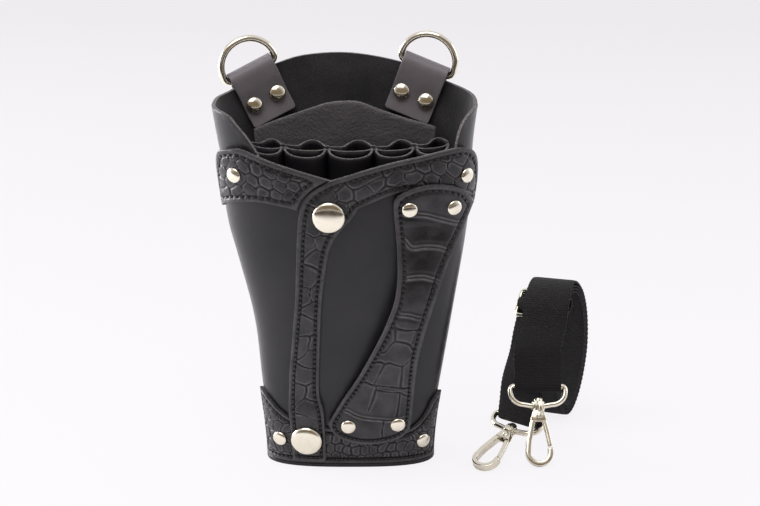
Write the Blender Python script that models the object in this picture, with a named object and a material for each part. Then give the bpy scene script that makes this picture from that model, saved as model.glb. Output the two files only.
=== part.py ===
"""Hairdresser's shears holster in black leather, with its rolled webbing strap.

Lengths in this file are millimetres, turned to metres where a mesh is made. +Z is up, the front of
the holster faces -Y, and the origin is the centre of the sole's underside.

A place on the holster's wall is an angle and a height. The angle is in degrees: 0 is the middle of
the front, 90 the right side (+X), 180 the middle of the back and -90 the left side. An offset is
the distance outwards from the outer face of the back shell.
"""

import math

import bmesh
import bpy
from mathutils import Matrix, Vector

MM = 0.001
GAP = 0.3

# The holster's wall: an oval section that widens upwards.
OVAL_POWER = 2.8
BASE_HALF_WIDTH = 42.0
WIDENING = 0.152
WIDENING_STARTS = 25.0
WIDENING_BLEND = 18.0
FOOT_TUCK, FOOT_TUCK_REACH = 0.9, 30.0
LEFT_WAIST, LEFT_WAIST_HEIGHT, LEFT_WAIST_REACH = 3.6, 70.0, 32.0
RIGHT_TUCK, RIGHT_TUCK_STARTS, RIGHT_TUCK_RANGE = 3.6, 115.0, 75.0
FRONT_HALF_DEPTH = 15.5
FRONT_FLARE = 0.075
BACK_HALF_DEPTH = 17.0
BACK_FLARE = 0.092
ANGLE_STEP = 9.0
LEVELS = (0.0, 14.0, 32.0, 50.0, 70.0, 92.0, 120.0, 150.0, 180.0, 215.0)

# Leather.
SOLE_THICKNESS = 2.0
SHELL_THICKNESS = 2.0
PANEL_THICKNESS = 1.6
TRIM_THICKNESS = 1.6
STRAP_THICKNESS = 2.4
TUBE_THICKNESS = 1.2
TAB_THICKNESS = 1.6
WALL_BOTTOM = SOLE_THICKNESS + GAP
PANEL_OFFSET = GAP
TRIM_OFFSET = PANEL_OFFSET + PANEL_THICKNESS + GAP
OVER_TRIM_OFFSET = TRIM_OFFSET + TRIM_THICKNESS + GAP

# Tool loop strap, which stands off the front between its rivets.
LOOP_BOTTOM, LOOP_TOP = 38.0, 138.0
LOOP_RISE_LEFT, LOOP_RISE_RIGHT = 5.5, 8.5
LOOP_LEFT_ANGLE, LOOP_RIGHT_ANGLE = 0.0, 48.0
LOOP_LEVELS = (LOOP_BOTTOM, 46.0, 70.0, 103.0, 130.0, LOOP_TOP)

# Shears tubes: their seams' places along X at the top, and how the bank narrows to its foot.
TUBE_SEAMS = (-50.8, -33.0, -10.9, 12.6, 33.2, 51.0)
TUBE_TOP, TUBE_FOOT = 168.5, 58.0
TUBE_FOOT_SCALE = 0.80
TUBE_BOW = 9.0
TUBE_BACKSET = 1.5
TUBE_FOOT_BACKSET = -2.5
TUBE_ROUNDNESS = 0.46
SEAM_HALF_WIDTH = 1.2
DIVIDER_TOP, DIVIDER_FOOT = 189.5, 52.0
DIVIDER_THICKNESS = 1.4

# Ring tabs: angle, height of the rivet row, and lean away from upright.
RING_TABS = (("left", -145.3, 187.9, 24.0), ("right", 154.7, 188.9, 20.0))
TAB_HALF_WIDTH = 12.1
TAB_TAIL = 12.0
TAB_RIVET_SPACING = 13.4
RING_BAR_RISE = 15.0
TAB_FOLD_RADIUS = 3.8
TAB_CHORD = 12.0

# Round wire of the D-rings: 25 mm inside.
RING_WIRE = 1.75
RING_HALF_WIDTH = 14.25
RING_CORNER = 3.25

# Rivets.
RIVET_CAP, RIVET_CAP_HEIGHT = 4.0, 2.0
RIVET_BACK = 3.4
RIVET_POST = 1.3
RIVET_HOLE = RIVET_POST + GAP
RIVET_SEAT = 0.9
BIG_CAP, BIG_CAP_HEIGHT = 8.3, 3.2
BIG_POST = 2.4
BIG_BACK = 5.5
BIG_SEAT = 1.0
BACK_CAP_HEIGHT = 1.0
CUTTER_DEPTH = 30.0

# Rolled webbing strap.
WEB_WIDTH, WEB_THICKNESS = 24.5, 1.3
WEB_PITCH = WEB_THICKNESS + GAP
ROLL_CENTRE = Vector((110.0, 52.5, 37.4))
ROLL_TURN, ROLL_TILT, ROLL_LEAN = 28.0, 5.0, 16.0
ROLL_HALF_DEPTH, ROLL_HALF_HEIGHT = 24.5, 38.5
UNDER_SHIFT, UNDER_SHIFT_FROM, UNDER_SHIFT_TO = -2.8, 20.0, 90.0
OVER_SHIFT, OVER_SHIFT_FROM, OVER_SHIFT_TO = 6.4, -22.0, 66.0
ROLL_TURNS = 2.0
ROLL_LEAVES = 30.0
SLIDER_ANGLE = 48.0
ROLL_RATE = 32.3
SLIDER_WIRE = 1.2
SLIDER_HALF_LENGTH = 7.5
SLIDER_CORNER = 2.0
SLIDER_BUMP = 4.6
OVER_BUMP, OVER_HALF_LENGTH = 6.4, 24.0

# Swivel snap hooks: the eye's bar, which way the hook points, and the way of the bar.
HOOK_A_BAR = Vector((99.3, 6.2, 35.5))
HOOK_A_WAY = Vector((0.0, -0.587, -0.81))
HOOK_A_ACROSS = Vector((1.0, 0.0, 0.0))
HOOK_B_BAR = Vector((91.0, 11.2, 14.4))
HOOK_B_WAY = Vector((-0.558, -0.774, -0.299))
HOOK_B_ACROSS = Vector((0.811, -0.585, 0.0))
STRAP_B_WAY = Vector((-0.09, -0.12, -0.99)).normalized()
LEAVING_ANGLE = 62.0
LEAD_A_BULGE, LEAD_B_BULGE = 0.38, 0.3
EYE_WIRE = 1.5
EYE_HALF_WIDTH = 14.4
EYE_CORNER = 1.9
EYE_COLLAR = 9.6
HOOK_PIVOT = 15.8
HOOK_BOTTOM = 34.6
HOOK_RADIUS = 5.7
HOOK_WIDTH, HOOK_DEPTH = 2.8, 3.6
PIN_HOLE = 1.1
GATE_AXIS_SHIFT = 0.6

# Spring of each gate, coiled round its pin.
SPRING_TURNS, SPRING_RADIUS, SPRING_WIRE = 1.6, 1.25, 0.14
SPRING_FOOT, SPRING_LENGTH = 0.66, 0.6


# ---- scene, materials and objects ----


def clear_scene():
    for old in list(bpy.data.objects):
        bpy.data.objects.remove(old, do_unlink=True)


def make_material(name, colour, roughness, metallic=0.0):
    material = bpy.data.materials.new(name)
    material.use_nodes = True
    shader = material.node_tree.nodes["Principled BSDF"]
    shader.inputs["Base Color"].default_value = (*colour, 1.0)
    shader.inputs["Roughness"].default_value = roughness
    shader.inputs["Metallic"].default_value = metallic
    return material


def make_object(name, bm, material, place=None):
    """Object from a bmesh in millimetres, local to the matrix `place`, whose shift is also in mm."""
    bmesh.ops.scale(bm, vec=(MM, MM, MM), verts=bm.verts)
    mesh = bpy.data.meshes.new(name)
    bm.to_mesh(mesh)
    bm.free()
    if material:
        mesh.materials.append(material)
        mesh.shade_smooth()
        mesh.set_sharp_from_angle(angle=math.radians(35.0))
    made = bpy.data.objects.new(name, mesh)
    bpy.context.scene.collection.objects.link(made)
    if place is not None:
        shift = place.to_translation() * MM
        made.matrix_world = Matrix.Translation(shift) @ place.to_quaternion().to_matrix().to_4x4()
    return made


def hide_cutter(cutter):
    cutter.hide_render = True
    cutter.display_type = "WIRE"


def add_boolean(target, cutter, operation):
    hide_cutter(cutter)
    change = target.modifiers.new(cutter.name, "BOOLEAN")
    change.operation = operation
    change.object = cutter
    change.solver = "EXACT"


# ---- the holster's wall ----


def half_width(height, side):
    """Half the wall's width at a height; the left edge has a waist, the right edge draws in above."""
    rise = height - WIDENING_STARTS
    width = BASE_HALF_WIDTH + WIDENING * (math.hypot(rise, WIDENING_BLEND) + rise) / 2
    width -= FOOT_TUCK * math.exp(-((height / FOOT_TUCK_REACH) ** 2))
    if side < 0:
        return width - LEFT_WAIST * math.exp(-(((height - LEFT_WAIST_HEIGHT) / LEFT_WAIST_REACH) ** 2))
    up = min(max((height - RIGHT_TUCK_STARTS) / RIGHT_TUCK_RANGE, 0.0), 1.0)
    return width - RIGHT_TUCK * up * up * (3 - 2 * up)


def section_point(angle, height, offset):
    turn = math.radians(angle)
    side, ahead = math.sin(turn), math.cos(turn)
    width = half_width(height, side)
    if ahead > 0:
        depth = FRONT_HALF_DEPTH + FRONT_FLARE * height
    else:
        depth = BACK_HALF_DEPTH + BACK_FLARE * height
    x = math.copysign(width * abs(side) ** (2 / OVAL_POWER), side)
    y = -math.copysign(depth * abs(ahead) ** (2 / OVAL_POWER), ahead)
    lean_x = math.copysign(abs(x / width) ** (OVAL_POWER - 1) / width, side)
    lean_y = -math.copysign(abs(y / depth) ** (OVAL_POWER - 1) / depth, ahead)
    outwards = Vector((lean_x, lean_y, 0.0)).normalized()
    return Vector((x, y, height)) + outwards * offset


def wall_point(angle, height, offset):
    """Point of the faceted wall, so that every layer bends at the same angles and heights."""
    column = math.floor(angle / ANGLE_STEP)
    across = angle / ANGLE_STEP - column
    row = max(i for i in range(len(LEVELS) - 1) if LEVELS[i] <= height)
    low, high = LEVELS[row], LEVELS[row + 1]
    up = (height - low) / (high - low)
    left, right = column * ANGLE_STEP, (column + 1) * ANGLE_STEP
    bottom = section_point(left, low, offset).lerp(section_point(right, low, offset), across)
    top = section_point(left, high, offset).lerp(section_point(right, high, offset), across)
    return bottom.lerp(top, up)


def wall_frame(angle, height):
    """Place on the wall: local Z points outwards, local Y up the wall."""
    reach = 3.0
    right = section_point(angle + reach, height, 0.0) - section_point(angle - reach, height, 0.0)
    right.normalize()
    rise = section_point(angle, height + reach, 0.0) - section_point(angle, height - reach, 0.0)
    outwards = right.cross(rise).normalized()
    axes = Matrix((right, outwards.cross(right), outwards)).transposed().to_4x4()
    return Matrix.Translation(wall_point(angle, height, 0.0)) @ axes


def smooth_run(points, steps=2):
    """Points on a smooth curve through the given ones."""
    found = []
    for i in range(len(points) - 1):
        before = Vector(points[max(i - 1, 0)])
        start, end = Vector(points[i]), Vector(points[i + 1])
        after = Vector(points[min(i + 2, len(points) - 1)])
        for step in range(steps):
            u = step / steps
            found.append(
                0.5
                * (
                    2 * start
                    + (end - before) * u
                    + (2 * before - 5 * start + 4 * end - after) * u**2
                    + (3 * start - before - 3 * end + after) * u**3
                )
            )
    return found


def outline_of(*runs):
    """Closed outline: each run is smooth, and runs meet at corners."""
    return [point for run in runs for point in smooth_run(run, 1 if len(run) == 2 else 2)]


def cut_flat(bm, axis, value):
    plane = Vector((1.0, 0.0, 0.0)) if axis == 0 else Vector((0.0, 1.0, 0.0))
    geometry = list(bm.verts) + list(bm.edges) + list(bm.faces)
    bmesh.ops.bisect_plane(bm, geom=geometry, dist=1e-4, plane_co=plane * value, plane_no=plane)


def wall_patch(outline, offset, thickness, rise=None, more_levels=()):
    """Sheet of leather that follows the wall inside an outline of angles and heights."""
    bm = bmesh.new()
    bm.faces.new([bm.verts.new((p[0], p[1], 0.0)) for p in outline])
    angles = [p[0] for p in outline]
    heights = [p[1] for p in outline]
    for column in range(math.ceil(min(angles) / ANGLE_STEP), math.ceil(max(angles) / ANGLE_STEP)):
        cut_flat(bm, 0, column * ANGLE_STEP)
    for level in LEVELS + more_levels:
        if min(heights) < level < max(heights):
            cut_flat(bm, 1, level)
    bmesh.ops.triangulate(bm, faces=bm.faces)
    made = bmesh.ops.extrude_face_region(bm, geom=list(bm.faces))
    outer = {v for v in made["geom"] if isinstance(v, bmesh.types.BMVert)}
    for vert in bm.verts:
        angle, height = vert.co.x, vert.co.y
        lift = rise(angle, height) if rise else 0.0
        level = offset + lift + (thickness if vert in outer else 0.0)
        vert.co = wall_point(angle, height, level)
    bmesh.ops.recalc_face_normals(bm, faces=bm.faces)
    return bm


# ---- small solids ----


def turned(profile, steps):
    """Solid of revolution about Z from (radius, height) points that start and end on the axis."""
    bm = bmesh.new()
    verts = [bm.verts.new((radius, 0.0, height)) for radius, height in profile]
    edges = [bm.edges.new(pair) for pair in zip(verts, verts[1:])]
    bmesh.ops.spin(
        bm,
        geom=verts + edges,
        axis=(0.0, 0.0, 1.0),
        cent=(0.0, 0.0, 0.0),
        steps=steps,
        angle=math.tau,
        use_merge=True,
    )
    bmesh.ops.remove_doubles(bm, verts=bm.verts, dist=1e-4)
    bmesh.ops.recalc_face_normals(bm, faces=bm.faces)
    return bm


def swept(stations, sections, closed=False):
    """Solid through a row of sections; each is a list of (side, out) points in its station."""
    bm = bmesh.new()
    rings = []
    for (centre, side, out), section in zip(stations, sections):
        rings.append([bm.verts.new(centre + side * a + out * b) for a, b in section])
    pairs = list(zip(rings, rings[1:]))
    if closed:
        pairs.append((rings[-1], rings[0]))
    for one, two in pairs:
        for i in range(len(one)):
            j = (i + 1) % len(one)
            bm.faces.new((one[i], one[j], two[j], two[i]))
    if not closed:
        bm.faces.new(rings[0])
        bm.faces.new(rings[-1])
    bmesh.ops.recalc_face_normals(bm, faces=bm.faces)
    return bm


def round_section(radius, sides):
    turns = [math.tau * (i + 0.5) / sides for i in range(sides)]
    return [(radius * math.cos(turn), radius * math.sin(turn)) for turn in turns]


def flat_section(width, thickness):
    w, t = width / 2, thickness / 2
    return [(-w, -t), (w, -t), (w, t), (-w, t)]


def along(points, out, closed=False):
    """Stations along a flat path whose plane has the normal `out`."""
    count = len(points)
    stations = []
    for i, point in enumerate(points):
        ahead = points[(i + 1) % count] if closed or i < count - 1 else point
        behind = points[i - 1] if closed or i else point
        way = (ahead - behind).normalized()
        side = out.cross(way)
        # Mitre, so that the bar keeps its width where the path turns.
        arrive = (point - behind).normalized() if point != behind else way
        stretch = 1 / max(way.dot(arrive), 0.6)
        stations.append((point, side * stretch, out))
    return stations


def arc(centre, radius, start, end, steps):
    """Points of an arc in the XY plane; angles in degrees."""
    turns = [math.radians(start + (end - start) * i / steps) for i in range(steps + 1)]
    x, y = centre
    return [Vector((x + radius * math.cos(a), y + radius * math.sin(a), 0.0)) for a in turns]


def bored_holes(name, frames, radius, depth, steps=12):
    """Cutter with one short rod through each frame."""
    bm = bmesh.new()
    for frame in frames:
        bmesh.ops.create_cone(
            bm,
            cap_ends=True,
            segments=steps,
            radius1=radius,
            radius2=radius,
            depth=depth,
            matrix=frame,
        )
    return make_object(name, bm, None)


# ---- outlines on the wall ----

BACK_SHELL = outline_of(
    [(78, WALL_BOTTOM), (282, WALL_BOTTOM)],
    [(282, WALL_BOTTOM), (282, 130)],
    [(282, 130), (292, 140), (312, 147), (323, 157), (325, 171.5)],
    [
        (325, 171.5), (319, 180), (312, 186), (304, 191), (287, 192.5), (262, 192.5), (238, 193.5),
        (218, 200.0), (205, 204.6), (192, 208.5), (180, 209.5), (165, 205.4), (151, 200.0),
        (138, 197.0), (118, 194.5), (90, 192.5), (73, 192), (62, 189), (56, 183), (53, 172),
    ],
    [(53, 172), (47, 164), (48, 154), (62, 145), (72, 139), (78, 130)],
    [(78, 130), (78, WALL_BOTTOM)],
)
PANEL_EDGE = 84.0
TOP_EDGE_RIGHT = [
    (-3.3, 161.1), (10, 169.2), (28, 173.1), (42, 175), (56, 175.3), (68, 172.5), (78, 165),
    (PANEL_EDGE, 150),
]
TOP_EDGE_LEFT = [
    (-PANEL_EDGE, 150), (-78, 163), (-68, 172), (-55, 174.6), (-47, 175.2), (-38.4, 173.4),
    (-27.3, 169.9), (-15.7, 166.2), (-3.3, 161.1),
]
FRONT_PANEL = outline_of(
    [(-PANEL_EDGE, WALL_BOTTOM), (-PANEL_EDGE, 150)],
    [(angle, height - 0.3) for angle, height in TOP_EDGE_LEFT],
    [(angle, height - 0.3) for angle, height in TOP_EDGE_RIGHT],
    [(PANEL_EDGE, 149.7), (PANEL_EDGE, WALL_BOTTOM)],
    [(PANEL_EDGE, WALL_BOTTOM), (-PANEL_EDGE, WALL_BOTTOM)],
)
LEFT_BAND = outline_of(
    [(-PANEL_EDGE, 141), (-PANEL_EDGE, 150)],
    TOP_EDGE_LEFT[:-1] + [(-4.4, 161.5)],
    [(-4.4, 161.5), (-9.2, 157.2), (-11.6, 154.6), (-14.3, 151), (-16.1, 146.5), (-16.2, 145.6)],
    [
        (-16.2, 145.6), (-20.6, 147), (-27.4, 148.1), (-35, 149), (-43.4, 148.8), (-57, 147.1),
        (-73.5, 143.9), (-PANEL_EDGE, 141),
    ],
)
RIGHT_BAND = outline_of(
    TOP_EDGE_RIGHT,
    [(PANEL_EDGE, 150), (PANEL_EDGE, 142)],
    [(PANEL_EDGE, 142), (68, 146), (46, 151), (24, 155), (16.7, 155), (10.7, 153), (1.8, 147)],
    [
        (1.8, 147), (0.5, 142), (-3.3, 129), (-6.8, 110), (-9.9, 88), (-12.4, 60), (-13.2, 46),
        (-12.6, 40), (-11.2, 35), (-10.8, 26), (-11, 4),
    ],
    [(-11, 4), (-37.6, 4)],
    [
        (-37.6, 4), (-37.2, 20), (-37, 34.6), (-34.8, 52), (-31.2, 67.7), (-27.6, 82), (-23.4, 97.4),
        (-19.8, 116), (-17.5, 130.3), (-16, 141), (-15, 146.3),
    ],
    [(-15, 146.3), (-13.2, 151), (-10.4, 154.8), (-8, 157.2), (-3.3, 161.1)],
)
BOTTOM_BAND = outline_of(
    [(-PANEL_EDGE, WALL_BOTTOM), (-PANEL_EDGE, 40.5)],
    [
        (-PANEL_EDGE, 40.5), (-69, 39), (-60.4, 36.6), (-51, 32.5), (-42.6, 29.7), (-35.8, 27.5),
        (-22, 24), (10, 22), (28, 20.5), (39, 21.5), (48.3, 24.5), (57.3, 29.3), (64.2, 35),
        (70.5, 37.5), (PANEL_EDGE, 38.5),
    ],
    [(PANEL_EDGE, 38.5), (PANEL_EDGE, WALL_BOTTOM)],
    [(PANEL_EDGE, WALL_BOTTOM), (-PANEL_EDGE, WALL_BOTTOM)],
)
TOOL_STRAP = outline_of(
    [
        (14.1, 150.4), (15.5, 153.4), (20, 156.2), (28, 158.6), (38, 158.5), (49, 156.6), (59, 152.9),
        (68.6, 146.1),
    ],
    [
        (68.6, 146.1), (62, 136.7), (56.2, 130.6), (51.4, 125.2), (46, 116.9), (42.2, 107.7),
        (39.1, 97.5), (36.4, 86.9), (34.5, 75.6), (33.9, 64.8), (34.9, 52.8), (36.8, 41.1),
        (37.5, 31), (37.3, 23.2),
    ],
    [
        (37.3, 23.2), (33, 20), (26.7, 17.4), (13.9, 15.2), (3.9, 15.1), (-1.1, 17.5), (-5.6, 21.1),
        (-8.6, 27),
    ],
    [
        (-8.6, 27), (-2.7, 38.8), (1.8, 54.5), (6.9, 69.2), (11, 80.4), (14.6, 91.5), (16.8, 101.1),
        (17.4, 112.5), (16.7, 124.1), (15.7, 134.2), (14.2, 145.7), (14.1, 150.4),
    ],
)

# Fasteners on the wall: name, angle, height, the layers it holds.
BAND_RIVETS = (
    ("rivet_band_top_left", -53.0, 162.3, ("left_band", "front_panel", "back_shell")),
    ("rivet_band_top_right", 62.0, 161.1, ("right_band", "front_panel", "back_shell")),
    ("rivet_band_low_left", -52.0, 15.7, ("bottom_band", "front_panel")),
    ("rivet_band_low_right", 57.0, 13.9, ("bottom_band", "front_panel")),
)
STRAP_RIVETS = (
    ("rivet_loop_top_left", 21.4, 147.5, ("tool_strap", "front_panel")),
    ("rivet_loop_top_right", 49.6, 146.6, ("tool_strap", "front_panel")),
    ("rivet_loop_low_left", -0.2, 27.0, ("tool_strap", "bottom_band", "front_panel")),
    ("rivet_loop_low_right", 26.2, 27.5, ("tool_strap", "bottom_band", "front_panel")),
)
BIG_CAPS = (
    ("cap_strip_top", -4.2, 142.8, TRIM_OFFSET + TRIM_THICKNESS, ("right_band", "front_panel")),
    (
        "cap_strip_low", -23.8, 17.6, OVER_TRIM_OFFSET + TRIM_THICKNESS,
        ("right_band", "bottom_band", "front_panel"),
    ),
)


def strip_rise(angle, height):
    """The strip under the right band climbs over the bottom band near its foot."""
    climb = min(max((46.0 - height) / 14.0, 0.0), 1.0)
    return (OVER_TRIM_OFFSET - TRIM_OFFSET) * climb


def loop_rise(angle, height):
    along_loop = min(max((height - LOOP_BOTTOM) / (LOOP_TOP - LOOP_BOTTOM), 0.0), 1.0)
    across = (angle - LOOP_LEFT_ANGLE) / (LOOP_RIGHT_ANGLE - LOOP_LEFT_ANGLE)
    rise = LOOP_RISE_LEFT + (LOOP_RISE_RIGHT - LOOP_RISE_LEFT) * across
    return rise * math.sin(math.pi * along_loop) ** 1.2


# ---- holster pieces ----


def make_wall_leather(smooth, croc):
    pieces = {
        "back_shell": (smooth, (BACK_SHELL, -SHELL_THICKNESS, SHELL_THICKNESS)),
        "front_panel": (smooth, (FRONT_PANEL, PANEL_OFFSET, PANEL_THICKNESS)),
        "left_band": (croc, (LEFT_BAND, TRIM_OFFSET, TRIM_THICKNESS)),
        "right_band": (croc, (RIGHT_BAND, TRIM_OFFSET, TRIM_THICKNESS, strip_rise, (46.0,))),
        "bottom_band": (croc, (BOTTOM_BAND, TRIM_OFFSET, TRIM_THICKNESS)),
        "tool_strap": (
            croc, (TOOL_STRAP, OVER_TRIM_OFFSET, STRAP_THICKNESS, loop_rise, LOOP_LEVELS)
        ),
    }
    return {name: make_object(name, wall_patch(*how), material)
            for name, (material, how) in pieces.items()}


def make_sole(material):
    bm = bmesh.new()
    steps = int(360 / ANGLE_STEP)
    reach = TRIM_OFFSET + TRIM_THICKNESS
    rim = [section_point(i * ANGLE_STEP, 0.0, reach) for i in range(steps)]
    face = bm.faces.new([bm.verts.new(point) for point in rim])
    made = bmesh.ops.extrude_face_region(bm, geom=[face])
    top = [v for v in made["geom"] if isinstance(v, bmesh.types.BMVert)]
    bmesh.ops.translate(bm, vec=(0.0, 0.0, SOLE_THICKNESS), verts=top)
    bmesh.ops.recalc_face_normals(bm, faces=bm.faces)
    return make_object("sole", bm, material)


def tube_line(side, level):
    """Middle line of a tube wall, in plan: side is -1 in front and 1 behind; level 1 is the top."""
    scale = TUBE_FOOT_SCALE + (1 - TUBE_FOOT_SCALE) * level
    backset = TUBE_FOOT_BACKSET + (TUBE_BACKSET - TUBE_FOOT_BACKSET) * level
    clear = side * (TUBE_THICKNESS + GAP) / 2
    points = []
    for left, right in zip(TUBE_SEAMS, TUBE_SEAMS[1:]):
        middle = (left + right) / 2
        half = (right - left) / 2 - SEAM_HALF_WIDTH
        deep = TUBE_ROUNDNESS * (right - left)
        for i in range(9):
            u = -1 + i / 4
            x = middle + half * math.sin(u * math.pi / 2)
            y = backset + TUBE_BOW * level * (x / TUBE_SEAMS[-1]) ** 2 + clear
            y += side * deep * scale * math.cos(u * math.pi / 2)
            points.append(Vector((x * scale, y, 0.0)))
    return points


def wall_from_lines(low, high, foot, top, thickness):
    """Upright sheet whose middle line is `low` at the foot and `high` at the top."""
    up = Vector((0.0, 0.0, 1.0))
    bm = bmesh.new()
    grid = []
    for line, height in ((low, foot), (high, top)):
        row = []
        for point, side, _ in along(line, up):
            shift = up * height
            near = bm.verts.new(point + shift - side * thickness / 2)
            far = bm.verts.new(point + shift + side * thickness / 2)
            row.append((near, far))
        grid.append(row)
    last = len(low) - 1
    for i in range(last):
        a, b = grid[0][i], grid[0][i + 1]
        c, d = grid[1][i], grid[1][i + 1]
        bm.faces.new((a[0], b[0], d[0], c[0]))
        bm.faces.new((a[1], c[1], d[1], b[1]))
        bm.faces.new((a[0], a[1], b[1], b[0]))
        bm.faces.new((c[0], d[0], d[1], c[1]))
    for i in (0, last):
        bm.faces.new((grid[0][i][0], grid[0][i][1], grid[1][i][1], grid[1][i][0]))
    bmesh.ops.recalc_face_normals(bm, faces=bm.faces)
    return bm


def make_tubes(material):
    for name, side in (("tube_front_wall", -1), ("tube_back_wall", 1)):
        bm = wall_from_lines(
            tube_line(side, 0.0), tube_line(side, 1.0), TUBE_FOOT, TUBE_TOP, TUBE_THICKNESS
        )
        make_object(name, bm, material)


def divider_height(x):
    """Height of the divider's pointed arch, highest a little left of the middle."""
    return DIVIDER_TOP - 17.0 * (1 - math.exp(-abs(x + 3.0) / 34.0)) * (abs(x + 3.0) / 45.0) ** 0.25


def make_divider(material):
    steps = 14
    up = Vector((0.0, 0.0, 1.0))
    bm = bmesh.new()
    columns = []
    for i in range(steps + 1):
        u = -1 + 2 * i / steps
        column = []
        for level in (0.0, 0.5, 1.0):
            scale = 0.78 + 0.22 * level
            x = (49.0 * u) * scale
            y = 10.5 + 8.0 * level + 2.0 * level * u * u
            height = DIVIDER_FOOT + (divider_height(49.0 * u) - DIVIDER_FOOT) * level
            for half in (-DIVIDER_THICKNESS / 2, DIVIDER_THICKNESS / 2):
                column.append(bm.verts.new(Vector((x, y + half, 0.0)) + up * height))
        columns.append(column)
    for a, b in zip(columns, columns[1:]):
        for k in (0, 2):
            bm.faces.new((a[k], b[k], b[k + 2], a[k + 2]))
            bm.faces.new((a[k + 1], a[k + 3], b[k + 3], b[k + 1]))
        bm.faces.new((a[0], a[1], b[1], b[0]))
        bm.faces.new((a[4], b[4], b[5], a[5]))
    for column in (columns[0], columns[-1]):
        bm.faces.new((column[0], column[1], column[3], column[2]))
        bm.faces.new((column[2], column[3], column[5], column[4]))
    bmesh.ops.recalc_face_normals(bm, faces=bm.faces)
    make_object("divider", bm, material)


# ---- fasteners ----


def rivet_profile(cap, cap_height, post, back, grip):
    """Domed cap above height 0, a post through the leather, and a flat back cap below."""
    return [
        (0.0, cap_height),
        (cap * 0.55, cap_height * 0.86),
        (cap * 0.9, cap_height * 0.45),
        (cap, 0.0),
        (post, 0.0),
        (post, -grip),
        (back, -grip),
        (back * 0.85, -grip - BACK_CAP_HEIGHT),
        (0.0, -grip - BACK_CAP_HEIGHT),
    ]


def make_rivet(name, place, profile, material, steps=12):
    return make_object(name, turned(profile, steps), material, place)


def make_wall_fasteners(metal):
    """Rivets and caps on the wall. Returns the holes that each layer needs."""
    over_trim = TRIM_OFFSET + TRIM_THICKNESS + GAP
    over_strap = OVER_TRIM_OFFSET + STRAP_THICKNESS + GAP
    rivets = [(rivet, over_trim) for rivet in BAND_RIVETS]
    rivets += [(rivet, over_strap) for rivet in STRAP_RIVETS]
    holes = {}
    for (name, angle, height, layers), top in rivets:
        inner = -SHELL_THICKNESS if "back_shell" in layers else PANEL_OFFSET
        frame = wall_frame(angle, height) @ Matrix.Translation((0.0, 0.0, top))
        grip = top - inner + RIVET_SEAT
        profile = rivet_profile(RIVET_CAP, RIVET_CAP_HEIGHT, RIVET_POST, RIVET_BACK, grip)
        make_rivet(name, frame, profile, metal)
        for layer in layers:
            holes.setdefault(layer, []).append((frame, RIVET_HOLE))
    for name, angle, height, top, layers in BIG_CAPS:
        frame = wall_frame(angle, height) @ Matrix.Translation((0.0, 0.0, top + GAP))
        grip = top + GAP - PANEL_OFFSET + BIG_SEAT
        profile = rivet_profile(BIG_CAP, BIG_CAP_HEIGHT, BIG_POST, BIG_BACK, grip)
        make_rivet(name, frame, profile, metal, steps=16)
        for layer in layers:
            holes.setdefault(layer, []).append((frame, BIG_POST + GAP))
    return holes


def cut_holes(pieces, holes):
    for layer, places in holes.items():
        for radius in sorted({radius for _, radius in places}):
            frames = [frame for frame, r in places if r == radius]
            label = "big" if radius > RIVET_HOLE else "small"
            cutter = bored_holes(f"{layer}_{label}_holes", frames, radius, CUTTER_DEPTH)
            add_boolean(pieces[layer], cutter, "DIFFERENCE")


# ---- ring tabs and D-rings ----


def tab_frame(angle, height, lean):
    """Frame of a flat tab astride the curved shell: X across, Y up the tab, Z out of the holster."""
    one = section_point(angle - TAB_CHORD, height, -SHELL_THICKNESS / 2)
    two = section_point(angle + TAB_CHORD, height, -SHELL_THICKNESS / 2)
    up = Vector((0.0, 0.0, 1.0))
    sideways = (two - one).normalized()
    outwards = sideways.cross(up)
    centre = section_point(angle, height, -SHELL_THICKNESS / 2).lerp((one + two) / 2, 0.5)
    away = sideways if sideways.dot(Vector((centre.x, 0.0, 0.0))) > 0 else -sideways
    rise = up * math.cos(math.radians(lean)) + away * math.sin(math.radians(lean))
    across = rise.cross(outwards).normalized()
    axes = Matrix((across, rise, outwards)).transposed().to_4x4()
    return Matrix.Translation(centre) @ axes


def ring_path():
    reach = RING_HALF_WIDTH - RING_CORNER
    points = arc((reach, RING_CORNER), RING_CORNER, -90, 0, 3)
    points += arc((0.0, RING_CORNER), RING_HALF_WIDTH, 8, 172, 14)
    points += arc((-reach, RING_CORNER), RING_CORNER, 180, 270, 3)
    return points


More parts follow.
